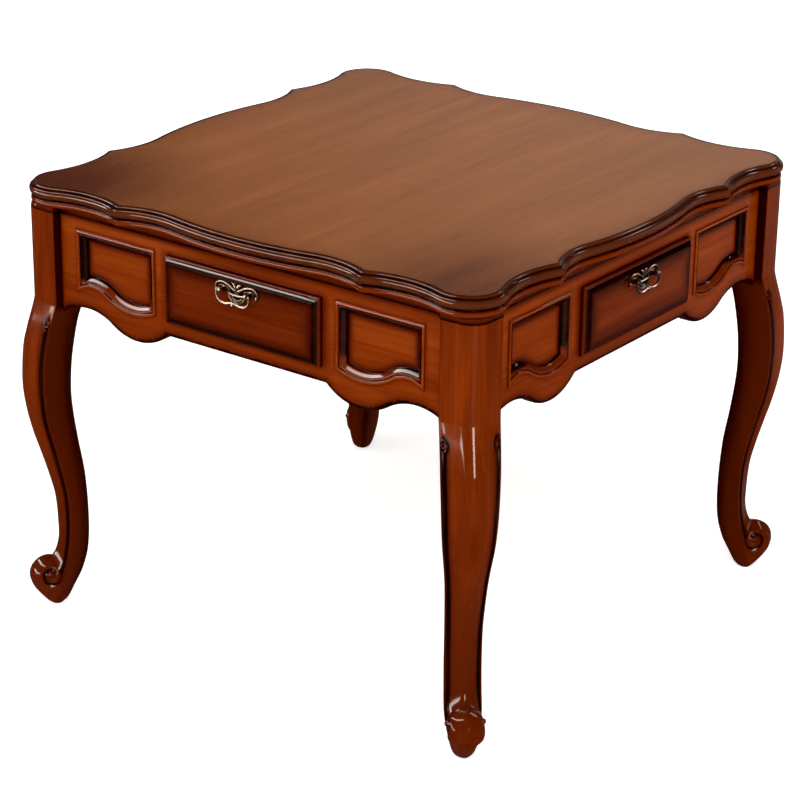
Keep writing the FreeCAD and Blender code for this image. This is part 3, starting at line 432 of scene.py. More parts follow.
class Nodes:
    """Short calls that add shader nodes to a material or a world."""

    def __init__(self, owner):
        owner.use_nodes = True
        self.owner = owner
        self.tree = owner.node_tree
        self.shader = self.tree.nodes.get("Principled BSDF")

    def add(self, kind, **settings):
        """A new node with its settings."""
        node = self.tree.nodes.new(kind)
        for key, value in settings.items():
            setattr(node, key, value)
        return node

    def feed(self, socket, value):
        """Lead an output to a socket, or set the socket to a number or colour."""
        if hasattr(value, "links"):
            self.tree.links.new(value, socket)
        else:
            socket.default_value = value

    def fill(self, node, **values):
        """Feed a node's sockets; a _ stands for a space in a socket's name."""
        for name, value in values.items():
            self.feed(node.inputs[name.replace("_", " ")], value)

    def noise(self, vector, scale, detail, rough=0.5, warp=0.0):
        """Noise read along a vector stretched by a scale for each axis."""
        stretch = self.add("ShaderNodeVectorMath", operation="MULTIPLY")
        self.feed(stretch.inputs[0], vector)
        self.feed(stretch.inputs[1], scale)
        node = self.add("ShaderNodeTexNoise")
        self.fill(node, Vector=stretch.outputs[0], Scale=1.0, Detail=detail, Roughness=rough,
                  Distortion=warp)
        return node.outputs["Fac"]

    def ramp(self, source, stops):
        """Colours or greys at places along a number."""
        node = self.add("ShaderNodeValToRGB")
        points = node.color_ramp.elements
        while len(points) < len(stops):
            points.new(0.5)
        for point, (place, colour) in zip(points, stops):
            point.position = place
            point.color = colour if hasattr(colour, "__len__") else (colour, colour, colour, 1)
        self.feed(node.inputs[0], source)
        return node.outputs[0]

    def math(self, operation, first, second):
        """One arithmetic operation on two outputs or numbers."""
        node = self.add("ShaderNodeMath", operation=operation)
        self.feed(node.inputs[0], first)
        self.feed(node.inputs[1], second)
        return node.outputs[0]

    def weighed(self, first, share, second, other):
        """Two outputs, each times its own number, added together."""
        return self.math("ADD", self.math("MULTIPLY", first, share), self.math("MULTIPLY", second, other))

    def ragged(self, source):
        """Half of a noise's distance from its middle."""
        return self.math("MULTIPLY", self.math("SUBTRACT", source, 0.5), 0.5)

    def mix(self, share, first, second):
        """A share of the second colour over the first."""
        node = self.add("ShaderNodeMix", data_type="RGBA")
        for number, value in ((0, share), (6, first), (7, second)):
            self.feed(node.inputs[number], value)
        return node.outputs[2]

    def bump(self, height, strength, distance):
        """Fine relief of the surface."""
        node = self.add("ShaderNodeBump")
        self.fill(node, Strength=strength, Distance=distance, Height=height)
        self.fill(self.shader, Normal=node.outputs[0])


# how often the lacquered wood's patterns turn in a metre, along the grain and twice across it
STREAKS = (1.6, 22, 22)
FIBRES = (7, 260, 260)
CLOUDS = (3.2, 5.5, 5.5)
PORES = (18, 900, 900)
WOODS = {
    # pale, middle and deep wood, then burnt edges and stained hollows that also serve as painted shade,
    # as the eye sees them
    "top_wood": ((166, 102, 58), (150, 89, 48), (131, 75, 39), (72, 26, 13), (28, 9, 5)),
    "frame_wood": ((142, 62, 19), (122, 47, 12), (97, 33, 8), (74, 22, 8), (22, 6, 3)),
    "leg_wood": ((118, 46, 13), (100, 35, 8), (78, 25, 5), (62, 19, 7), (22, 6, 3)),
    "drawer_wood": ((116, 47, 17), (99, 35, 10), (76, 23, 6), (60, 17, 7), (20, 5, 3)),
}
TOP_STREAK = 0.65
TOP_COAT = 1.35


def lacquered_wood(name, streak=1.0, coat=1.32):
    """Stained wood under a glossy lacquer, with dark stain and painted shade in its hollows and on its
    edges.
    """
    pale, middle, deep, burnt_and_shaded, stain = (tone(*colour) for colour in WOODS[name])
    nodes = Nodes(bpy.data.materials.new(name))
    grain = nodes.add("ShaderNodeAttribute", attribute_name="grain").outputs["Vector"]
    darkening = nodes.add("ShaderNodeAttribute", attribute_name="stain").outputs["Fac"]
    broad = nodes.noise(grain, STREAKS, detail=4, rough=0.55, warp=0.6)
    fine = nodes.noise(grain, FIBRES, detail=3, rough=0.6)
    cloud = nodes.noise(grain, CLOUDS, detail=2)
    # the wood's figure: streaks and fibres about the middle tone
    figure = nodes.weighed(broad, 0.62 * streak, fine, 0.30 * streak)
    figure = nodes.math("ADD", figure, 0.5 - 0.46 * streak)
    wood = nodes.ramp(figure, [(0.34, deep), (0.5, middle), (0.66, pale)])
    wood = nodes.mix(nodes.ramp(cloud, [(0.35, 0.0), (0.7, 0.32)]), wood, deep)
    pores = nodes.ramp(nodes.noise(grain, PORES, detail=2), [(0.60, 0.0), (0.72, 0.35)])
    wood = nodes.mix(pores, wood, stain)
    # the stain and painted shade, with a ragged border
    border = nodes.math("MULTIPLY", nodes.ragged(broad), nodes.ramp(darkening, [(0.0, 0.0), (0.3, 1.0)]))
    darkening = nodes.math("ADD", darkening, border)
    toned = nodes.ramp(darkening, [(0.0, burnt_and_shaded), (0.55, burnt_and_shaded), (1.0, stain)])
    wood = nodes.mix(nodes.ramp(darkening, [(0.0, 0.0), (0.55, 0.85), (0.9, 1.0)]), wood, toned)
    nodes.fill(nodes.shader, Base_Color=wood, Roughness=nodes.ramp(fine, [(0.3, 0.36), (0.7, 0.46)]),
               Specular_IOR_Level=0.0, Coat_Weight=1.0, Coat_Roughness=0.1, Coat_IOR=coat)
    nodes.bump(fine, 0.06, 0.0004)
    return nodes.owner


def plain_wood(name, pale, deep):
    """Unfinished wood of the drawers' insides and of the hidden frame."""
    nodes = Nodes(bpy.data.materials.new(name))
    place = nodes.add("ShaderNodeTexCoord").outputs["Object"]
    rings = nodes.noise(place, (9, 9, 55), detail=4, rough=0.6, warp=1.2)
    fine = nodes.noise(place, (60, 60, 420), detail=3, rough=0.6)
    figure = nodes.weighed(rings, 0.7, fine, 0.3)
    nodes.fill(nodes.shader, Base_Color=nodes.ramp(figure, [(0.36, deep), (0.62, pale)]),
               Roughness=nodes.ramp(fine, [(0.3, 0.5), (0.7, 0.68)]))
    nodes.bump(fine, 0.25, 0.0005)
    return nodes.owner


def cloth(name, pale, deep):
    """Short-napped felt."""
    nodes = Nodes(bpy.data.materials.new(name))
    place = nodes.add("ShaderNodeTexCoord").outputs["Object"]
    nap = nodes.noise(place, (900, 900, 900), detail=4, rough=0.7)
    cloud = nodes.noise(place, (14, 14, 14), detail=3)
    figure = nodes.weighed(nap, 0.6, cloud, 0.4)
    nodes.fill(nodes.shader, Base_Color=nodes.ramp(figure, [(0.35, deep), (0.65, pale)]),
               Roughness=0.95, Specular_IOR_Level=0.05, Sheen_Weight=0.05, Sheen_Roughness=0.5)
    nodes.bump(nap, 0.5, 0.001)
    return nodes.owner


def cast_metal(name, pale, deep, rough):
    """Metal with a dark patina in its hollows and bright high places."""
    nodes = Nodes(bpy.data.materials.new(name))
    place = nodes.add("ShaderNodeTexCoord").outputs["Object"]
    darkening = nodes.add("ShaderNodeAttribute", attribute_name="stain").outputs["Fac"]
    wear = nodes.noise(place, (260, 260, 260), detail=4, rough=0.6)
    patina = nodes.math("ADD", darkening, nodes.ragged(wear))
    nodes.fill(nodes.shader, Base_Color=nodes.ramp(patina, [(0.05, pale), (0.85, deep)]),
               Roughness=nodes.ramp(wear, [(0.3, rough), (0.7, rough + 0.16)]), Metallic=1.0)
    nodes.bump(wear, 0.12, 0.0005)
    return nodes.owner


# ---- the wavy plan

def swept_radius(run, rise):
    """The radius of an arc that climbs a rise over a run from level, or of two such arcs together."""
    return (run ** 2 + rise ** 2) / (2 * rise)


def flipped(loop):
    """The line's mirror image, in the same turning direction."""
    return [(-x, z) for x, z in reversed(loop)]


def plan_arcs():
    """Centres and radii of half a side's arcs, from its middle to the corner."""
    valley_out = EDGE_REACH - VALLEY_DEPTH
    dip_out = EDGE_REACH - DIP_DEPTH
    tip_out = EDGE_REACH + TIP_PROUD
    valley_radius = swept_radius(TIP_AT - VALLEY_AT, tip_out - valley_out)
    bow_radius = swept_radius(VALLEY_AT, VALLEY_DEPTH) - valley_radius
    dip_radius = swept_radius(DIP_AT - TIP_AT, tip_out - dip_out)
    space = EDGE_REACH - DIP_AT
    linear = 2 * space + 2 * DIP_DEPTH
    constant = space ** 2 - 2 * DIP_DEPTH * dip_radius + DIP_DEPTH ** 2
    corner_radius = (linear - math.sqrt(linear ** 2 - 4 * constant)) / 2
    bow = (0, EDGE_REACH - bow_radius)
    valley = (VALLEY_AT, valley_out + valley_radius)
    dip = (DIP_AT, dip_out + dip_radius)
    corner = (EDGE_REACH - corner_radius, EDGE_REACH - corner_radius)
    return (bow, bow_radius), (valley, valley_radius), (dip, dip_radius), (corner, corner_radius)


PLAN = plan_arcs()


def crossing(first, radius, second, other):
    """Where two circles cross, nearer to the table's middle."""
    gap = math.hypot(second[0] - first[0], second[1] - first[1])
    along = (gap ** 2 + radius ** 2 - other ** 2) / (2 * gap)
    aside = math.sqrt(radius ** 2 - along ** 2)
    run = ((second[0] - first[0]) / gap, (second[1] - first[1]) / gap)
    choices = [(first[0] + run[0] * along + run[1] * aside * way,
                first[1] + run[1] * along - run[0] * aside * way) for way in (1, -1)]
    return min(choices, key=lambda point: point[1])


BESIDE_EDGE = 0.05
HALF_CORNER = 45


def half_side(inset):
    """Points of half a side, from its middle to the corner, as (along, out) pairs.

    Two of them stand close on either side of the post's inner edge, where the cove steps out.
    """
    (bow, bow_radius), (valley, valley_radius), (dip, dip_radius), (corner, corner_radius) = PLAN
    tip = crossing(valley, valley_radius + inset, dip, dip_radius + inset)
    bow_end = bearing(bow, valley)
    corner_start = bearing(corner, dip)
    spots = arc_points(bow, bow_radius - inset, 90, bow_end, 26)
    spots += arc_points(valley, valley_radius + inset, bow_end - 180, bearing(valley, tip), 24)
    spots += arc_points(dip, dip_radius + inset, bearing(dip, tip), corner_start - 180, 22)
    post_edge = math.degrees(math.acos((POST_INNER - corner[0]) / (corner_radius - BROW_INSET)))
    before = post_edge + BESIDE_EDGE
    after = post_edge - BESIDE_EDGE
    for begin, finish, count in ((corner_start, before, 2), (before, before, 1), (after, after, 1),
                                 (post_edge - 2, HALF_CORNER, 18), (HALF_CORNER, HALF_CORNER, 1)):
        spots += arc_points(corner, corner_radius - inset, begin, finish, count)
    return spots


def whole_plan(inset):
    """The closed wavy plan as (x, y) pairs."""
    half = half_side(inset)
    side = flipped(half)[:-1] + half[:-1]
    loop = []
    for quarter in range(4):
        angle = math.radians(-90 * quarter)
        loop += [(x * math.cos(angle) - y * math.sin(angle), x * math.sin(angle) + y * math.cos(angle))
                 for x, y in side]
    return loop


def level(loop, height):
    """A flat loop at one height."""
    return [(x, y, height) for x, y in loop]


def shrunk(loop, share):
    """A loop drawn in towards the middle."""
    return [(x * share, y * share) for x, y in loop]


BEAD_STEPS = 10


def bead_rows(top, drop, high, inset, bulge, crown, border):
    """Rows down a rounded bead, with the stain and painted shade on its crown and at its borders."""
    rows = []
    for step in range(BEAD_STEPS + 1):
        angle = math.radians(90 - 180 * step / BEAD_STEPS)
        out = math.cos(angle)
        height = top - drop - high / 2 * (1 - math.sin(angle))
        rows.append((level(whole_plan(inset + bulge * (1 - out)), height),
                     border + (crown - border) * out ** 1.2))
    return rows


TOP_EDGE = [
    # inset, height below the face, stain and painted shade: the flat's border, a fine groove, the lip and
    # its foot
    (22, 0, 0.16), (17, 0, 0.24), (14, 0, 0.34), (12.6, 0, 0.5), (11.9, 0.45, 0.95), (11, 0.7, 1.0),
    (10.2, 0.25, 0.95), (9.2, 0, 0.8), (8, 0.25, 0.72), (6.8, 1.1, 0.72), (5.8, 2.4, 0.85),
    (5.3, 3.6, 0.95), (5.1, 4.4, 1.0),
]
TOP_BEAD = {"drop": 4.6, "high": 15, "inset": 0, "bulge": 5, "crown": 0.68, "border": 0.97}
# the bead's underside down to the rim, painted dark as shade where the top meets the rim
TOP_FOOT = [(5.4, 19.8, 1.0), (6.4, 20.6, 1.0), (6.4, 23, 1.0)]
FLAT_STEPS = 32
FLAT_SHARE = 0.97
FLAT_BORDER = 0.86
FLAT_STAIN = 0.12
UNDERSIDE = (0.95, 0.6, 0.2)
UNDERSIDE_STAIN = 0.6
# stain and painted shade at each corner of the top, found by whether x and y are above zero there; the
# painted shade makes the front two the darkest
CORNER_BURN_AND_SHADE = {(False, False): 0.68, (True, False): 0.48, (True, True): 0.14, (False, True): 0.14}
CORNER_SHADE_AT = 450
CORNER_SHADE_REACH = 390


def burnished_and_shaded(loop, height, stain):
    """A flat loop with the stain and painted shade that gather towards the corners, most at the front
    two.
    """
    tones = []
    for x, y in loop:
        gap = math.hypot(abs(x) - CORNER_SHADE_AT, abs(y) - CORNER_SHADE_AT)
        strength = CORNER_BURN_AND_SHADE[(x > 0, y > 0)] * (1 - smooth(gap / CORNER_SHADE_REACH))
        tones.append(max(stain, strength))
    return level(loop, height), tones


def dining_top(material):
    """The loose top: flat centre, fine groove, lip and large bead."""
    shape = Shape()
    flat = whole_plan(TOP_EDGE[0][0])
    rows = []
    for step in range(1, FLAT_STEPS + 1):
        share = FLAT_SHARE * step / FLAT_STEPS
        stain = FLAT_STAIN * smooth((share - FLAT_BORDER) / (1 - FLAT_BORDER))
        rows.append(burnished_and_shaded(shrunk(flat, share), TABLE_HEIGHT, stain))
    for inset, drop, stain in TOP_EDGE:
        rows.append(burnished_and_shaded(whole_plan(inset), TABLE_HEIGHT - drop, stain))
    rows += bead_rows(TABLE_HEIGHT, **TOP_BEAD)
    for inset, drop, stain in TOP_FOOT:
        rows.append((level(whole_plan(inset), TABLE_HEIGHT - drop), stain))
    for share in UNDERSIDE:
        rows.append((level(shrunk(flat, share), RIM_TOP), UNDERSIDE_STAIN))
    shape.loft(rows, caps=True)
    piece("table_top", shape, "loose_top", material, "dining_top", grain="y")


PLAY_HALF = 350
BOARD_HALF = 425.2
BOARD_TOP = 732
SOCKET_AT = 387.5
SOCKET_RADIUS = 5.6
RIM_BEAD = {"drop": 0, "high": 10, "inset": 2.5, "bulge": 3.2, "crown": 0.32, "border": 0.95}
COVE_TOP = 726.4
COVE_FOOT = 716.6
COVE_STEPS = 8
REBATE_STAIN = 0.6
RIM_STAIN = 0.35
SOCKET_STAIN = 0.8


def frame_outline(x, y):
    """The point on the outline of aprons and posts that lies inside a point of the wavy plan."""
    along, out = (x, y) if abs(y) > abs(x) else (y, x)
    end = POST_OUTER - POST_RIDGE
    if abs(along) < POST_INNER:
        spot = (along, APRON_FACE)
    elif abs(along) < end:
        spot = (along, POST_OUTER)
    else:
        angle = math.atan2(abs(out) - end, abs(along) - end)
        spot = (math.copysign(end + POST_RIDGE * math.cos(angle), along),
                end + POST_RIDGE * math.sin(angle))
    out = math.copysign(spot[1], out)
    return (spot[0], out) if abs(y) > abs(x) else (out, spot[0])


def cove_rows(brow, foot):
    """Rows down the cove, painted dark as shade under the bead and again at its foot."""
    rows = [(level(brow, COVE_TOP), 0.9)]
    for step in range(1, COVE_STEPS + 1):
        angle = math.radians(90 * step / COVE_STEPS)
        share = math.sin(angle)
        height = COVE_FOOT + (COVE_TOP - COVE_FOOT) * math.cos(angle)
        points = [(x1 + (x2 - x1) * share, y1 + (y2 - y1) * share, height)
                  for (x1, y1), (x2, y2) in zip(brow, foot)]
        rows.append((points, 0.55 + 0.4 * abs(2 * share - 1) ** 2))
    return rows


def game_rim(material):
    """The rim: small bead, cove down to the aprons, and the rebated frame with its sockets."""
    shape = Shape()
    brow = whole_plan(BROW_INSET)
    foot = [frame_outline(x, y) for x, y in brow]
    inner = [(x * BOARD_HALF / max(abs(x), abs(y)), y * BOARD_HALF / max(abs(x), abs(y)))
             for x, y in foot]
    rows = bead_rows(RIM_TOP, **RIM_BEAD) + cove_rows(brow, foot)
    rows += [(level(inner, height), REBATE_STAIN) for height in (COVE_FOOT, BOARD_TOP)]
    shape.loft(rows)
    sockets = [arc_points(spot, SOCKET_RADIUS, 0, 360, 24) for spot in
               ((SOCKET_AT, 0), (0, SOCKET_AT), (-SOCKET_AT, 0), (0, -SOCKET_AT))]
    field = spaced([(PLAY_HALF, PLAY_HALF), (-PLAY_HALF, PLAY_HALF), (-PLAY_HALF, -PLAY_HALF),
                    (PLAY_HALF, -PLAY_HALF)], 24)
    top_edge = whole_plan(RIM_BEAD["inset"] + RIM_BEAD["bulge"])
    for outline, height in ((top_edge, RIM_TOP), (inner, BOARD_TOP)):
        sheet_of(shape, [outline, field] + sockets, lambda x, y: (x, y, height),
                 lambda points: RIM_STAIN, fine=14, coarse=30, margin=20)
    for loop in sockets + [field]:
        shape.loft([(level(loop, height), SOCKET_STAIN) for height in (RIM_TOP, BOARD_TOP)])
    piece("rim", shape, "frame", material, "game_rim")


# ---- aprons and panels

APRON_FOOT = 554
STEP_AT = 161
LOBE = (226.025, 528)
ARCH = (332, 560)


def apron_edge():
    """The lower edge of an apron, from its left end to its right end, as (x, z) pairs."""
    lobe_radius = swept_radius(LOBE[0] - STEP_AT, APRON_FOOT - LOBE[1])
    arch_radius = swept_radius(ARCH[0] - LOBE[0], ARCH[1] - LOBE[1]) - lobe_radius
    lobe = (LOBE[0], LOBE[1] + lobe_radius)
    arch = (ARCH[0], ARCH[1] - arch_radius)
    end = (POST_INNER, arch[1] + math.sqrt(arch_radius ** 2 - (POST_INNER - ARCH[0]) ** 2))
    half = line_points((0, APRON_FOOT), (STEP_AT, APRON_FOOT), 20)
    half += arc_points(lobe, lobe_radius, bearing(lobe, (STEP_AT, APRON_FOOT)), bearing(lobe, arch), 30)
    half += arc_points(arch, arch_radius, bearing(arch, lobe), bearing(arch, end), 26)
    half.append(end)
    return flipped(half)[:-1] + half


def panel_loop(inset):
    """The outline of the right panel, moved in by an inset; it has the same points for any inset."""
    near = PANEL_NEAR + inset
    far = PANEL_FAR - inset
    top = PANEL_TOP - inset
    both = swept_radius(PANEL_ARCH[0] - PANEL_LOBE[0], PANEL_ARCH[1] - PANEL_LOBE[1])
    arch_radius = both - PANEL_LOBE_RADIUS
    lobe = (PANEL_LOBE[0], PANEL_LOBE[1] + PANEL_LOBE_RADIUS)
    arch = (PANEL_ARCH[0], PANEL_ARCH[1] - arch_radius)
    inner = PANEL_LOBE_RADIUS - inset
    outer = arch_radius + inset
    start = (near, lobe[1] - math.sqrt(inner ** 2 - (near - lobe[0]) ** 2))
    end = (far, arch[1] + math.sqrt(outer ** 2 - (far - arch[0]) ** 2))
    loop = line_points((near, top), start, 10)
    loop += arc_points(lobe, inner, bearing(lobe, start), bearing(lobe, arch), 18)
    loop += arc_points(arch, outer, bearing(arch, lobe), bearing(arch, end), 14)
    loop += line_points(end, (far, top), 10)
    loop += line_points((far, top), (near, top), 14)
    return loop


def rectangle(half, foot, top):
    """A rectangle about the middle, as (x, z) pairs."""
    return [(-half, foot), (half, foot), (half, top), (-half, top)]


def fade(gap, width):
    """Stain and painted shade that die away over a distance."""
    return np.exp(-(np.asarray(gap) / width) ** 1.5)


BEAD_WIDE = 6
SLOPE_WIDE = 11
EDGE_ROUND = 6.0
ROUND_STEPS = 4


def edge_drawn_in(edge, distance):
    """The apron's lower edge moved up into its face, with its ends kept at the posts."""
    line = moved_in(edge, distance)
    for end in (0, -1):
        line[end] = (edge[end][0], edge[end][1] + distance)
    return line


def at_depth(loop, out):
    """The front side's (x, z) pairs at a distance in front of the table's middle."""
    return [(x, -out, z) for x, z in loop]


def apron_shape():
    """The front apron: soft lower edge, drawer opening and two pockets with their fields."""
    shape = Shape()
    edge = apron_edge()
    ends = [(POST_INNER, APRON_TOP), (-POST_INNER, APRON_TOP)]
    opening = rectangle(OPENING_HALF, FRONT_FOOT + OPENING_LAP, FRONT_TOP - OPENING_LAP)
    drawer = rectangle(FRONT_HALF, FRONT_FOOT, FRONT_TOP)
    pockets = [panel_loop(BEAD_WIDE), flipped(panel_loop(BEAD_WIDE))]
    borders = [panel_loop(0), flipped(panel_loop(0))]

    # painted shade with some stain: darker along the lower edge, round the panels and the drawer, under
    # the rim and beside the posts
    def face_stain_and_shade(points):
        stain = fade(distances(points, edge, closed=False), 12)
        for border in borders:
            stain = np.maximum(stain, 0.45 * fade(distances(points, border), 3.5))
        stain = np.maximum(stain, 0.65 * fade(distances(points, drawer), 5))
        stain = np.maximum(stain, 0.75 * fade(APRON_TOP - points[:, 1], 7))
        return np.maximum(stain, 0.55 * fade(POST_INNER - np.abs(points[:, 0]), 5))

    # painted shade with some stain in the sunk field: darker towards the moulding's slope round it
    def field_stain_and_shade(points):
        gap = np.minimum(distances(points, pockets[0]), distances(points, pockets[1])) - SLOPE_WIDE
        return 0.05 + 0.85 * fade(np.maximum(gap, 0), 7)

    field_out = APRON_FACE - PANEL_DEEP
    sheet_of(shape, [edge_drawn_in(edge, EDGE_ROUND) + ends, opening] + pockets,
             lambda x, z: (x, -APRON_FACE, z), face_stain_and_shade)
    for pocket in pockets:
        sheet_of(shape, [pocket], lambda x, z: (x, -field_out, z), field_stain_and_shade,
                 fine=4, coarse=14, margin=26)
        # the pocket's walls, painted dark as shade
        shape.loft([(at_depth(pocket, out), 1.0) for out in (APRON_FACE, field_out)])
    sheet_of(shape, [edge + ends, opening], lambda x, z: (x, -APRON_BACK, z), lambda points: 0.3,
             fine=20, coarse=40, margin=10)
    # the opening's walls, painted shade, darker at the front
    shape.loft([(at_depth(opening, APRON_FACE), 0.8), (at_depth(opening, APRON_BACK), 0.5)])
    # the rounded lower edge, dark with stain and painted shade
    rows = []
    for step in range(ROUND_STEPS + 1):
        angle = math.radians(90 * step / ROUND_STEPS)
        line = edge_drawn_in(edge, EDGE_ROUND * (1 - math.sin(angle)))
        out = APRON_FACE - EDGE_ROUND * (1 - math.cos(angle))
        rows.append((at_depth(line + ends, out), 1.0))
    rows.append((at_depth(edge + ends, APRON_BACK), 0.8))
    shape.loft(rows)
    return shape


def aprons(material):
    """The four aprons."""
    shape = apron_shape()
    for quarter, side in enumerate(SIDES):
        piece(f"panelled_apron_{side}", shape, "frame", material, f"apron_{side}", quarter)


MOULDING = [
    # inset from the panel's outline, distance beyond the apron's face, stain and painted shade: the slope
    # down to the field is painted dark as shade all round
    (0, -1, 0.8), (0, 0.6, 0.6), (0.4, 1.6, 0.3), (1.0, 2.3, 0.1), (1.4, 2.5, 0.0), (3.3, 3.0, 0.0),
    (3.8, 3.0, 0.1), (4.4, 2.7, 0.2), (5.4, 1.7, 0.6), (6.0, 0.6, 1.0), (6.5, 0.3, 1.0),
    (7.0, 0.9, 1.0), (7.8, 1.2, 0.95), (9.2, 0.8, 0.92), (10.2, 0.0, 0.94), (11.4, -1.2, 0.97),
    (12.8, -2.6, 1.0), (14.2, -4.0, 1.0), (15.4, -5.3, 1.0), (16.4, -7.0, 1.0), (17, -8.9, 1.0),
    (17, -9.6, 1.0),
]
# the wavy foot's slope faces up, so it keeps only a share of the dark there: painted light
SLOPE_FROM = 6.5
SLOPE_TO = 16.4
FOOT_TOP = 612
FOOT_FADE = 6
LIT_FOOT_SHARE = 0.45


def moulding_stain_shade_and_light(loop, inset, stain):
    """Stain and painted shade along one row of a moulding; the upward-facing slope of the wavy foot gets
    less of it, as painted light.
    """
    if not SLOPE_FROM < inset < SLOPE_TO:
        return stain
    return [stain * (1 - (1 - LIT_FOOT_SHARE) * smooth((FOOT_TOP - z) / FOOT_FADE)) for _, z in loop]


def panel_mouldings(material):
    """Beads and curved slopes round the panels, two to a side."""
    shape = Shape()
    rows = []
    for inset, out, stain in MOULDING:
        loop = panel_loop(inset)
        rows.append((at_depth(loop, APRON_FACE + out), moulding_stain_shade_and_light(loop, inset, stain)))
    shape.loft(rows, ring=True)
    shape.join(shape.mirrored())
    for quarter, side in enumerate(SIDES):
        piece(f"panel_beads_{side}", shape, "frame", material,
              f"panel_mouldings_{side}", quarter)


# ---- drawer fronts

FRONT_PROFILE = [
    # inset from the front's outline, distance beyond the apron's face, stain and painted shade: dark on
    # the sides and bevel, fading across the face
    (0.8, 0.4, 1.0), (0, 1.0, 1.0), (0, 3.6, 0.8), (0.25, 5.1, 0.45), (0.9, 6.5, 0.3), (1.9, 7.6, 0.3),
    (3.2, 8.3, 0.45), (4.0, 8.5, 0.95), (4.3, 8.9, 1.0), (7.4, 11.4, 0.97), (10.4, 14, 0.92),
    (12, 14, 0.85), (15, 14, 0.74), (19, 14, 0.58), (25, 14, 0.36), (32, 14, 0.18), (40, 14, 0.06),
    (50, 14, 0.0),
]
# half the plan of the tongue behind the front, as (x, distance from the table's middle) pairs
TONGUE = [(141.8, 437.9), (141.8, 429.4), (129.6, 429.4), (129.6, 421.4)]
TONGUE_FOOT = 593.2
TONGUE_TOP = 681.8
TONGUE_STAIN = 0.2


def drawer_fronts(material):
    """Lipped fronts with a bevelled border and a tongue behind."""
    shape = Shape()
    rows = []
    for inset, out, stain in FRONT_PROFILE:
        loop = spaced(rectangle(FRONT_HALF - inset, FRONT_FOOT + inset, FRONT_TOP - inset), 12)
        rows.append((at_depth(loop, APRON_FACE + out), stain))
    shape.loft(rows, caps=True)
    plan = [(x, -out) for x, out in TONGUE + flipped(TONGUE)]
    shape.loft([(level(plan, height), TONGUE_STAIN) for height in (TONGUE_FOOT, TONGUE_TOP)], caps=True)
    for quarter, side in enumerate(SIDES):
        piece(f"drawer_face_{side}", shape, f"drawer_{side}", material,
              f"drawer_front_{side}", quarter)


# ---- legs

# the leg's measures at heights: how far out on the diagonal its back, front and side edges lie, half
# its width there, the radii of its ridge and of its side edges, and how deep the groove is
LEG_BACK = [(0, 598), (4, 593), (12, 587), (30, 578), (60, 563.5), (100, 553), (160, 550), (240, 554),
            (300, 563), (350, 569.5), (390, 572), (440, 569.5), (480, 564), (520, 556), (545, 548.5),
            (560, INNER_CORNER)]
LEG_FRONT = [(0, 621), (3, 625), (8, 630), (16, 637), (24, 643.5), (32, 649), (40, 652.5),
             (50, 653), (60, 648), (70, 637), (78, 626), (86, 617), (100, 609), (120, 604), (140, 603),
             (200, 606.5), (240, 615.5), (280, 627), (320, 639), (360, 648), (400, 653), (440, 652.5),
             (480, 648.7), (500, 644), (520, 638.6), (540, 632.6), (560, 627.4)]
LEG_SIDE = [(0, 608), (10, 607), (30, 602), (54, 598), (80, 591), (100, 587), (150, 582), (200, 583),
            (240, 589), (300, 602), (350, 613), (400, 617), (440, 616.5), (480, 612), (520, 604),
            (560, 593.2)]
LEG_HALF = [(0, 17.5), (3, 20), (10, 22), (30, 25), (50, 28.5), (70, 30.5), (90, 31), (200, 31),
            (250, 32.6), (300, 35.5), (360, 42), (400, 44.5), (440, 46), (480, 47), (560, 47.4)]
LEG_RIDGE = [(0, 8), (6, 11), (20, 16), (40, 19), (56, 16), (76, 12), (92, 12), (150, 13), (300, 16),
             (400, 19), (480, 23), (530, 28), (560, POST_RIDGE)]
LEG_EDGE = [(0, 9), (15, 9), (30, 6), (50, 3), (65, 2), (540, 2), (560, 1.5)]
LEG_GROOVE = [(0, 0), (30, 0), (50, 2.4), (70, 3), (300, 3.4), (480, 3.4), (515, 2.6), (535, 0), (560, 0)]
# along the outer face, from the side edge: the points' places, the groove and the curl at its head
GROOVE_STOPS = [0, 0.9, 1.8, 2.6, 3.4, 4.4, 5.6, 6.8, 8, 9, 9.9, 10.8, 12.4, 14.6, 17, 20]
GROOVE_MIDDLE = 6.2
GROOVE_HALF = 4.0
GROOVE_DARK = 0.85
GROOVE_FADE = 6
OPEN_STEPS = 7
RIDGE_STEPS = 8
EDGE_STEPS = 4
INNER_STEPS = 10
INNER_STOP = 2.0
# how much darker the leg is made towards the bottom
LEG_LOWER_DARKENING = 0.44
# stain and painted shade on the leg's side edges and inner faces, and darkest at the back where the post
# meets the aprons
LEG_EDGE_STAIN_AND_SHADE = 0.6
LEG_BACK_STAIN_AND_SHADE = 0.9
CURL_HIGH = 524
CURL_AT = 9
CURL_STEPS = 14
CURL_LIFT = 0.5
SCROLL = (622, 54)
SCROLL_RADIUS = 33.5
SCROLL_STEPS = 96
SCROLL_SIDE = [
    # radius from the drum's middle, half width: the side's face, then the ridged rim
    (0, 29.5), (6, 29.3), (12, 28.8), (17, 27.6), (21, 25.6), (24, 22.8), (26.5, 19), (28.8, 14),
    (30.8, 9), (32.4, 4.5), (33.2, 1.5), (33.5, 0),
]
EYE = (618, 62)
EYE_RADIUS = 6.5
EYE_HIGH = 3.4
# share of the turning, distance from the eye
SPIRAL = [(0, 18.5), (0.28, 20), (0.55, 14), (0.8, 9.5), (1, 7.6)]
SPIRAL_STEPS = 55
SPIRAL_DEEP = 3.0
SPIRAL_HALF = 3.4
SPIRAL_DARK = 5.0


def leg_measures(height):
    """The leg's measures at a height: back, front, side, half width, ridge, edge and groove."""
    tables = (LEG_BACK, LEG_FRONT, LEG_SIDE, LEG_HALF, LEG_RIDGE, LEG_EDGE, LEG_GROOVE)
    return [through(table, height) for table in tables]


def unit(vector):
    """A vector's direction."""
    return vector / np.linalg.norm(vector)


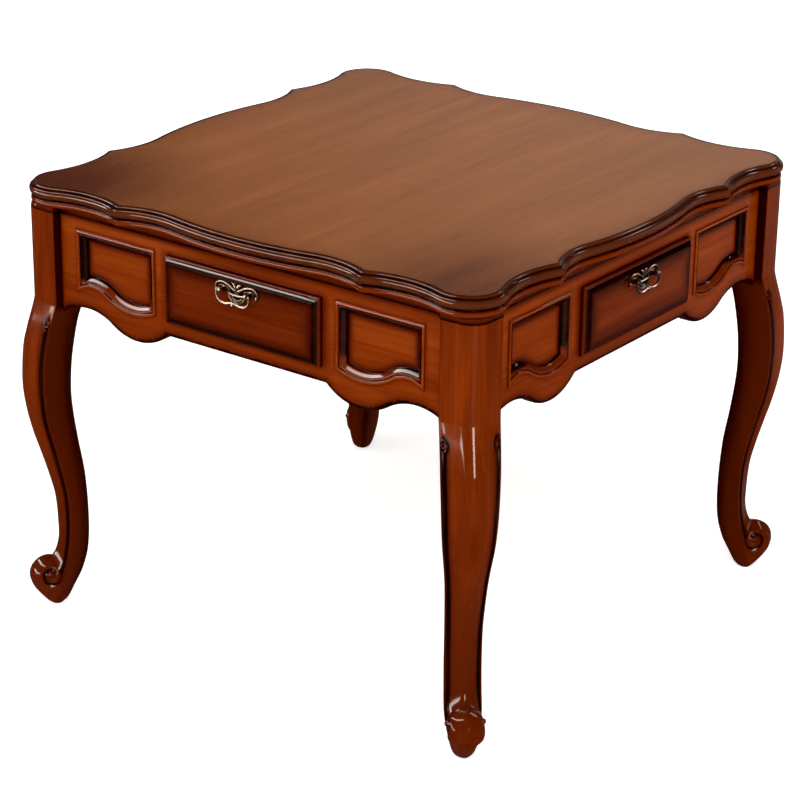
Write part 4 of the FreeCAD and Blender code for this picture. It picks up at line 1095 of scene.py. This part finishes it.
def sharp_tip(front, side, half, ridge):
    """How far out the outer faces would meet without the round ridge, and the angle of each there."""
    sharp = front + ridge * (ROOT_TWO - 1)
    for _ in range(5):
        opening = math.atan2(half, sharp - side)
        sharp = front - ridge + ridge / math.sin(opening)
    return sharp, opening


def outer_stops(start, trim):
    """Places along the outer face, from the ridge to the side edge and closer over the groove."""
    share = min(1.0, 0.8 * (start - trim) / GROOVE_STOPS[-1])
    stops = [stop * share + trim for stop in GROOVE_STOPS]
    open_run = [start + (stops[-1] - start) * step / OPEN_STEPS for step in range(OPEN_STEPS)]
    return open_run + stops[::-1]


def groove_stain_and_shade(reach):
    """Stain and painted shade in and beside the groove; reach is -1 at its border by the side edge and 1
    at the other.
    """
    if reach >= GROOVE_DARK:
        return 0.9 * math.exp(-((reach - GROOVE_DARK) * GROOVE_HALF / GROOVE_FADE) ** 1.4)
    return 0.97 if reach > -GROOVE_DARK else 0.7


def leg_loop(height):
    """Points and stains round the leg at a height, as (outward, across) pairs."""
    back, front, side, half, ridge, edge, groove = leg_measures(height)
    sharp, opening = sharp_tip(front, side, half, ridge)
    tip = np.array([sharp, 0.0])
    edge_point = np.array([side, half])
    rear = np.array([back, 0.0])
    forward = unit(tip - edge_point)
    backward = unit(rear - edge_point)
    normal = np.array([-forward[1], forward[0]])
    carved = smooth(groove / 2.6)
    lower = LEG_LOWER_DARKENING * (1 - smooth((height - 60) / 420))
    post = smooth((height - 540) / 16)
    points = []
    stains_and_shades = []
    # ridge, from its crown to the outer face
    centre = np.array([sharp - ridge / math.sin(opening), 0.0])
    for step in range(RIDGE_STEPS):
        angle = (math.pi / 2 - opening) * step / RIDGE_STEPS
        points.append(centre + ridge * np.array([math.cos(angle), math.sin(angle)]))
        stains_and_shades.append(lower)
    # outer face, from the ridge to the side edge
    corner_opening = math.acos(float(np.clip(forward @ backward, -1, 1)))
    trim = edge / math.tan(corner_opening / 2)
    start = np.linalg.norm(tip - edge_point) - ridge / math.tan(opening)
    for stop in outer_stops(start, trim):
        reach = (stop - trim - GROOVE_MIDDLE) / GROOVE_HALF
        depth = groove * (0.5 + 0.5 * math.cos(math.pi * reach)) if abs(reach) < 1 else 0.0
        points.append(edge_point + forward * stop - normal * depth)
        # stain and painted shade in the groove and in the pocket round the knee curl
        pocket = math.hypot((stop - trim - CURL_AT) / 9.5, (height - CURL_HIGH) / 15)
        stains_and_shades.append(max(groove_stain_and_shade(reach) * carved, lower, 1.0 - smooth((pocket - 0.75) / 0.4)))
    # side edge
    middle = edge_point + unit(forward + backward) * edge / math.sin(corner_opening / 2)
    first = edge_point + forward * trim - middle
    last = edge_point + backward * trim - middle
    for step in range(1, EDGE_STEPS):
        share = step / EDGE_STEPS
        points.append(middle + unit(first * (1 - share) + last * share) * edge)
        stains_and_shades.append(LEG_EDGE_STAIN_AND_SHADE)
    # inner face and the back, with stain and painted shade that grow towards the back and are darkest on
    # the post
    length = np.linalg.norm(rear - edge_point)
    for step in range(INNER_STEPS + 1):
        share = step / INNER_STEPS
        run = trim + (length - trim - INNER_STOP) * step / INNER_STEPS
        points.append(edge_point + backward * run)
        stains_and_shades.append((LEG_EDGE_STAIN_AND_SHADE + 0.3 * share ** 2) * (1 - post) + LEG_BACK_STAIN_AND_SHADE * post)
    points.append(rear + np.array([1.0, 0.0]))
    stains_and_shades.append(LEG_BACK_STAIN_AND_SHADE)
    mirrored = [(u, -v) for u, v in points[1:-1]]
    return points + mirrored[::-1], stains_and_shades + stains_and_shades[1:-1][::-1]


def on_diagonal(out, across, height):
    """A point given along and across the back right diagonal, in table coordinates."""
    return ((out - across) / ROOT_TWO, (out + across) / ROOT_TWO, height)


def leg_heights():
    """Where the leg's sections lie: closer at the sole and where the knee runs into the post."""
    return [0, 0.8, 2, 4, 7, 10, *range(14, 551, 4), *range(553, 563, 3), 575, 610, 650, 690, APRON_TOP]


def on_outer_face(height, sharpness, run, lift=0.0):
    """A point of the leg's outer face as (outward, across): at a run from its edge, and lifted."""
    front, side, half, ridge = (through(table, height)
                                for table in (LEG_FRONT, LEG_SIDE, LEG_HALF, LEG_RIDGE))
    rise = front + sharpness * ridge - side
    slant = math.hypot(half, rise)
    return (side + rise / slant * run + half / slant * lift,
            half - half / slant * run + rise / slant * lift)


def groove_path():
    """The groove's line down the leg and round the foot's eye, as (outward, height) pairs."""
    line = [(on_outer_face(height, 0.4, GROOVE_MIDDLE)[0], height) for height in range(150, 78, -6)]
    for step in range(SPIRAL_STEPS + 1):
        turned = step / SPIRAL_STEPS
        angle = math.radians(150 + 340 * turned)
        radius = through(SPIRAL, turned)
        line.append((EYE[0] + radius * math.cos(angle), EYE[1] + radius * math.sin(angle)))
    return line


def foot_scroll():
    """The rolled foot: a ridged drum across the diagonal with a carved spiral and an eye on each side."""
    shape = Shape()
    path = groove_path()
    rows = []
    for radius, half in catmull(SCROLL_SIDE, 4):
        radius = min(max(radius, 0.05), SCROLL_RADIUS)
        spots = [(SCROLL[0] + radius * math.cos(2 * math.pi * step / SCROLL_STEPS),
                  SCROLL[1] + radius * math.sin(2 * math.pi * step / SCROLL_STEPS))
                 for step in range(SCROLL_STEPS)]
        gap = distances(spots, path, closed=False)
        fading = smooth((half - 6) / 12)
        depth = SPIRAL_DEEP * np.exp(-(gap / SPIRAL_HALF) ** 2) * fading
        eye_gap = np.array([math.hypot(u - EYE[0], z - EYE[1]) for u, z in spots])
        shade = 0.36 + 0.3 * np.exp(-(eye_gap / 16) ** 2)
        # stain and painted shade in the carved spiral
        stain = np.maximum(shade, np.exp(-(gap / SPIRAL_DARK) ** 2) * fading)
        button = np.array([EYE_HIGH * smooth((EYE_RADIUS - gap) / 5) for gap in eye_gap])
        rows.append((spots, max(half, 0.0) - depth + button, stain))
    for way in (1, -1):
        skins = [([on_diagonal(u, way * v, z) for (u, z), v in zip(spots, halves)], stain)
                 for spots, halves, stain in rows]
        numbered = shape.loft(skins)
        shape.fan(numbered[0])
    return shape


def knee_curl():
    """The small carved curl at the head of each groove."""
    shape = Shape()
    for way in (1, -1):
        spots = []
        radii = []
        for step in range(CURL_STEPS + 1):
            turned = step / CURL_STEPS
            angle = math.radians(-100 + 520 * turned)
            reach = 6.6 - 5.0 * turned
            height = CURL_HIGH + 1.6 * reach * math.sin(angle)
            out, across = on_outer_face(height, 0.38, CURL_AT + reach * math.cos(angle), CURL_LIFT)
            spots.append(on_diagonal(out, way * across, height))
            radii.append(2.2 - 0.5 * turned)
        tube(shape, spots, radii, 0.75, steps=3, around=8)
    return shape


def legs(material):
    """Four cabriole legs with grooved edges, knee curls and scroll feet."""
    shape = Shape()
    rows = []
    for height in leg_heights():
        loop, stains_and_shades = leg_loop(height)
        rows.append(([on_diagonal(u, v, height) for u, v in loop], stains_and_shades))
    shape.loft(rows, caps=True)
    shape.join(foot_scroll())
    shape.join(knee_curl())
    for quarter, corner in enumerate(CORNERS):
        piece(f"carved_leg_{corner}", shape, "frame", material, f"leg_{corner}", quarter,
              grain="z", sharp=50)


# ---- pulls

PLATE_BARS = [
    # (across, up) from the pull's middle, radii, distance beyond the drawer front, stain, flatness
    # wing, which ends in a curl
    ([(3, 1), (9, 4.5), (17, 8.5), (26, 10.8), (34, 10.2), (40, 6.5), (42, 1.5), (40.5, -2.5)],
     [1.9, 2.0, 1.9, 1.7, 1.6, 1.5, 1.4, 1.2], 2.0, 0.2, 0.9),
    # thin bar under the wing
    ([(14, 1), (20, 3.5), (28, 5), (34, 4.2), (36.5, 1), (34.5, -1.2)],
     [1.0, 1.1, 1.1, 1.0, 0.9, 0.8], 1.2, 0.7, 0.8),
    # crown leaf
    ([(1.0, 3), (2.4, 7), (4.6, 10.6), (8.2, 11.8)], [1.5, 2.6, 2.0, 0.8], 2.2, 0.1, 0.8),
    # bowl, the crescent in it, its bar and its stem
    ([(15, -3), (16, -8), (12.5, -14), (6.5, -18), (0, -19.4)], [1.6, 1.9, 2.0, 1.9, 1.9], 1.4, 0.3, 0.8),
    ([(9.5, -8.5), (8, -12), (4.5, -14.4), (0, -15.2)], [1.0, 1.3, 1.5, 1.5], 1.2, 0.5, 0.8),
    ([(14.5, -5.6), (7, -6.6), (0, -7)], [1.5, 1.6, 1.7], 1.8, 0.05, 0.9),
    ([(2.2, 2.5), (2.0, -2), (1.6, -7)], [1.3, 1.4, 1.3], 1.5, 0.3, 0.8),
]
BACKING = [(0, 7), (6, 8.4), (9, 4), (16, 2), (16.5, -4), (14, -11), (8, -16), (0, -17.5)]
BACKING_THICK = 0.9
# turned forms: distance along the axis, radius
CURL_BUTTON = [(0, 0.5), (0.3, 3.2), (2.4, 3.3), (3.9, 2.2), (4.4, 0.6)]
POST = [(0, 1), (0.2, 5.4), (1.6, 5.6), (2.6, 4.6), (3.4, 3.4), (5, 3.2), (7.6, 3.5), (9.4, 4.1),
        (11.6, 4.3), (13.4, 3.9), (14.6, 2.8), (15.1, 1.2)]
POST_STAINS = [0.4, 0.3, 0.2, 0.6, 0.7, 0.5, 0.2, 0.1, 0.05, 0.05, 0.1, 0.1]
BAIL_END = [(0, 0.3), (0.5, 1.8), (2.6, 2.7), (4.7, 1.9), (5.2, 1.2)]
BAIL_KNOB = [(0, 0.4), (0.5, 1.8), (1.6, 2.6), (2.6, 2.2), (3.4, 2.8), (5.2, 3.7), (7, 3.6), (8.6, 2.3),
             (9.4, 0.8)]
# half the bail and its pin, as (across, up) from the pull's middle, and their radii
BAIL = [(32, 0), (32.6, -5), (31.2, -11), (27, -16), (20, -18.8), (12, -18.8), (5, -17), (0, -16.4)]
BAIL_RADII = [2.1, 2.1, 2.2, 2.3, 2.4, 2.5, 2.3, 2.2]
PIN = [(33, 0), (30, 0), (24, 0)]
PIN_RADII = [1.5, 1.4, 1.4]
OUTWARD = (0, -1, 0)
DOWN = (0, 0, -1)


def pull_points(flat_points, out):
    """Points of a pull given as (across, up) from its middle, at a distance beyond the drawer front."""
    return [(x, -FRONT_FACE - out, PULL_HIGH + z) for x, z in flat_points]


def plate_shape():
    """The open cast backplate: wings that end in curls, crown leaves, a barred bowl and two posts."""
    shape = Shape()
    for points, radii, out, stain, flat in PLATE_BARS:
        tube(shape, pull_points(points, out), radii, stain, flat=flat)
    lathe(shape, (39.6, -FRONT_FACE - 0.3, PULL_HIGH - 3.4), OUTWARD, CURL_BUTTON, 0.1, 16)
    lathe(shape, (PULL_HALF, -FRONT_FACE + 0.2, PULL_HIGH), OUTWARD, POST, POST_STAINS)
    shape.join(shape.mirrored())
    outline = BACKING + flipped(BACKING[1:-1])
    closed_line = [tuple(point) for point in catmull(outline + outline[:1], 4)[:-1]]
    shape.loft([(pull_points(closed_line, out), 0.9) for out in (0.0, BACKING_THICK)], caps=True)
    return shape


def bail_shape():
    """The swinging bail: two shallow lobes that meet at a drop knob."""
    shape = Shape()
    out = PIVOT_OUT - FRONT_FACE
    tube(shape, pull_points(BAIL, out), BAIL_RADII, 0.1, steps=7)
    tube(shape, pull_points(PIN, out), PIN_RADII, 0.3)
    lathe(shape, (32, -PIVOT_OUT, PULL_HIGH + 2.6), DOWN, BAIL_END, 0.1, 16)
    shape.join(shape.mirrored())
    lathe(shape, (0, -PIVOT_OUT, PULL_HIGH - 13.2), DOWN, BAIL_KNOB, 0.05, 18)
    return shape


def pulls(material):
    """A backplate and a bail for each drawer."""
    plate = plate_shape()
    bail = bail_shape()
    for quarter, side in enumerate(SIDES):
        piece(f"pull_plate_{side}", plate, f"drawer_{side}", material,
              f"backplate_{side}", quarter, sharp=60)
        piece(f"pull_bail_{side}", bail, f"pull_{side}", material,
              f"bail_{side}", quarter, sharp=60)


# ---- carried-over pieces

def dress(name, material):
    """Give a kept piece of the frame its finish."""
    thing = frame["nodes"][name]
    thing.data.materials.clear()
    thing.data.materials.append(material)


def dress_kept(inner, felt, steel):
    """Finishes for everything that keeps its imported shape."""
    plain = ["game_board", "corner_blocks", "locating_dowels"]
    for side in SIDES:
        plain += [f"drawer_side_{side}_left", f"drawer_side_{side}_right", f"drawer_back_{side}",
                  f"drawer_bottom_{side}", f"drawer_runners_{side}"]
        dress(f"pull_screws_{side}", steel)
    for name in plain:
        dress(name, inner)
    dress("playing_felt", felt)
    for name in ("board_screws", "hanger_bolts", "bolt_nuts", "bolt_washers"):
        dress(name, steel)


# ---- camera and light

CAMERA_SPOT = (2530.4, -3437.2, 2097.7)
CAMERA_AZIMUTH = 36.58
CAMERA_RISE = 22.32
CAMERA_ROLL = 0.745
CAMERA_LENS = 121.48
CAMERA_SENSOR = 36


def camera():
    """The camera at the photograph's viewing angle."""
    azimuth, rise, roll = (math.radians(angle) for angle in (CAMERA_AZIMUTH, CAMERA_RISE, CAMERA_ROLL))
    behind = Vector((math.sin(azimuth) * math.cos(rise), -math.cos(azimuth) * math.cos(rise),
                     math.sin(rise)))
    right = Vector((math.cos(azimuth), math.sin(azimuth), 0))
    up = behind.cross(right)
    rolled_right = right * math.cos(roll) + up * math.sin(roll)
    rolled_up = up * math.cos(roll) - right * math.sin(roll)
    lens = bpy.data.cameras.new("camera")
    lens.lens = CAMERA_LENS
    lens.sensor_width = CAMERA_SENSOR
    lens.clip_end = 100
    thing = placed("camera", lens)
    turn = Matrix((rolled_right, rolled_up, behind)).transposed().to_4x4()
    thing.matrix_world = Matrix.Translation(Vector(CAMERA_SPOT) * MM) @ turn
    bpy.context.scene.camera = thing


SKY_TONE = (0.95, 0.97, 1.0, 1)
SKY_STRENGTH = 0.05
BLACK_POINT = 0.004
FLOOR_GLOW = 0.55
BACKDROP = 30
BACKDROP_HIGH = 20
FLOOR_TONES = ((0.86, 0.86, 0.855, 1), (0.9, 0.9, 0.895, 1))
WHITE = (1, 1, 1, 1)
GLOWS = [
    # azimuth, rise, reach of the core, reach of the edge, strength
    (112, 2, 8, 27, 0.48),  # the sheen on the top
    (70, -15, 5, 15, 0.22),  # the sheen on the right-hand side
    (-36, -22, 3, 10, 0.6),  # the line down the corners
]
GLOW_TONE = (1.0, 0.88, 0.78, 1)
LAMP_TONE = (1.0, 0.87, 0.79)
LAMPS = [
    # name, place, what it is aimed at, width, height, power, roll
    # the low ones stay under the tabletop's plane, so that it doesn't mirror them
    ("front_low", (-2.5, -3.3, 0.50), (0, 0, 0.6), 5.0, 0.45, 150, 0),
    ("back_low", (2.7, 3.3, 0.65), (0, 0, 0.7), 1.8, 0.12, 3, 0),
    ("front_high", (-1.95, -1.60, 2.92), (0, -0.45, 0.59), 3.9, 0.36, 95, 38.6),
    ("back_high", (1.2, 3.2, 3.3), (0, 0, 0.7), 1.6, 0.3, 14, 0),
]
ACCENTS = [
    # a lamp as above, and how the names of the only pieces start that it lights
    (("ridge_strip", (2.9, -2.25, 0.95), (0.45, -0.45, 0.5), 0.55, 0.9, 42, 0), "carved_leg"),
    (("pull_glint", (2.0, 2.3, 2.0), (0.46, 0, 0.65), 1.6, 1.6, 45, 0), "pull_"),
]
SUN_FROM = (0.26, -0.57, 0.76)
SUN_WIDE = 70
SUN_STRENGTH = 2.85


def softbox(name, spot, target, wide, high, power, roll):
    """A rectangular studio light aimed at a point; it is seen only in reflections."""
    light = bpy.data.lights.new(name, "AREA")
    light.color = LAMP_TONE
    light.shape = "RECTANGLE"
    light.size = wide
    light.size_y = high
    light.energy = power
    thing = placed(name, light)
    thing.location = spot
    aim = (Vector(target) - Vector(spot)).to_track_quat("-Z", "Y").to_matrix()
    thing.rotation_euler = (aim @ Matrix.Rotation(math.radians(roll), 3, "Z")).to_euler()
    thing.visible_diffuse = False
    thing.visible_camera = False
    return thing


def accents():
    """A narrow strip for the line down the legs' ridges, and a glint for the pulls."""
    for row, prefix in ACCENTS:
        lamp = softbox(*row)
        lit = bpy.data.collections.new(f"{lamp.name}_lit")
        for thing in bpy.context.scene.objects:
            if thing.name.startswith(prefix):
                lit.objects.link(thing)
        lamp.light_linking.receiver_collection = lit


def daylight():
    """One broad, even light from above that isn't mirrored in anything."""
    light = bpy.data.lights.new("daylight", "SUN")
    light.angle = math.radians(SUN_WIDE)
    light.energy = SUN_STRENGTH
    thing = placed("daylight", light)
    thing.rotation_euler = Vector(SUN_FROM).to_track_quat("Z", "Y").to_euler()
    thing.visible_glossy = False


def glow(nodes, ray, azimuth, rise, core, edge, strength):
    """A soft round glow of the surroundings in one direction."""
    azimuth, rise = math.radians(azimuth), math.radians(rise)
    toward = nodes.add("ShaderNodeVectorMath", operation="DOT_PRODUCT")
    nodes.feed(toward.inputs[0], ray)
    nodes.feed(toward.inputs[1], (math.cos(azimuth) * math.cos(rise),
                                  math.sin(azimuth) * math.cos(rise), math.sin(rise)))
    spread = nodes.add("ShaderNodeMapRange", interpolation_type="SMOOTHSTEP")
    nodes.fill(spread, Value=toward.outputs["Value"], From_Min=math.cos(math.radians(edge)),
               From_Max=math.cos(math.radians(core)), To_Max=strength)
    light = nodes.add("ShaderNodeBackground")
    nodes.fill(light, Color=GLOW_TONE, Strength=spread.outputs["Result"])
    return light.outputs[0]


def sky():
    """Even, dim surroundings with a few soft warm glows."""
    nodes = Nodes(bpy.data.worlds.new("studio"))
    ray = nodes.add("ShaderNodeTexCoord").outputs["Generated"]
    background = nodes.tree.nodes["Background"]
    nodes.fill(background, Color=SKY_TONE, Strength=SKY_STRENGTH)
    total = background.outputs[0]
    for row in GLOWS:
        both = nodes.add("ShaderNodeAddShader")
        nodes.feed(both.inputs[0], total)
        nodes.feed(both.inputs[1], glow(nodes, ray, *row))
        total = both.outputs[0]
    nodes.fill(nodes.tree.nodes["World Output"], Surface=total)
    bpy.context.scene.world = nodes.owner


def view_levels():
    """Plain colours, with the darkest ones drawn down to black."""
    view = bpy.context.scene.view_settings
    view.view_transform = "Standard"
    view.use_curve_mapping = True
    view.curve_mapping.black_level = (BLACK_POINT,) * 3
    view.curve_mapping.update()


def pale_paint():
    """Plain pale paint with a faint haze, which glows a little."""
    nodes = Nodes(bpy.data.materials.new("floor"))
    place = nodes.add("ShaderNodeTexCoord").outputs["Object"]
    haze = nodes.noise(place, (0.8, 0.8, 0.8), detail=2)
    nodes.fill(nodes.shader, Base_Color=nodes.ramp(haze, [(0.3, FLOOR_TONES[0]), (0.7, FLOOR_TONES[1])]),
               Roughness=0.9, Specular_IOR_Level=0.1, Emission_Color=WHITE, Emission_Strength=FLOOR_GLOW)
    return nodes.owner


def floor_and_walls():
    """A plain pale floor between far walls; the lacquer doesn't mirror them."""
    mesh = bpy.data.meshes.new("floor")
    corners = [(-BACKDROP, -BACKDROP), (BACKDROP, -BACKDROP), (BACKDROP, BACKDROP), (-BACKDROP, BACKDROP)]
    points = [(x, y, z) for z in (0, BACKDROP_HIGH) for x, y in corners]
    walls = [(i, i + 4, (i + 1) % 4 + 4, (i + 1) % 4) for i in range(4)]
    mesh.from_pydata(points, [], [(0, 1, 2, 3)] + walls)
    mesh.materials.append(pale_paint())
    floor = placed("floor", mesh)
    floor.visible_glossy = False


def studio():
    """Surroundings, lamps, daylight and the plain pale floor."""
    sky()
    for lamp in LAMPS:
        softbox(*lamp)
    daylight()
    view_levels()
    floor_and_walls()


# ---- the scene

def main():
    """Build the whole scene."""
    camera()
    studio()
    top_wood = lacquered_wood("top_wood", TOP_STREAK, TOP_COAT)
    frame_wood = lacquered_wood("frame_wood")
    leg_wood = lacquered_wood("leg_wood")
    drawer_wood = lacquered_wood("drawer_wood")
    inner = plain_wood("inner_wood", tone(206, 170, 122), tone(170, 126, 80))
    felt = cloth("felt", tone(22, 112, 62), tone(11, 76, 41))
    brass = cast_metal("antique_brass", tone(176, 160, 146), tone(34, 22, 16), 0.24)
    steel = cast_metal("steel", tone(196, 196, 198), tone(120, 120, 122), 0.34)
    dining_top(top_wood)
    game_rim(frame_wood)
    aprons(frame_wood)
    panel_mouldings(frame_wood)
    drawer_fronts(drawer_wood)
    legs(leg_wood)
    pulls(brass)
    accents()
    dress_kept(inner, felt, steel)


main()
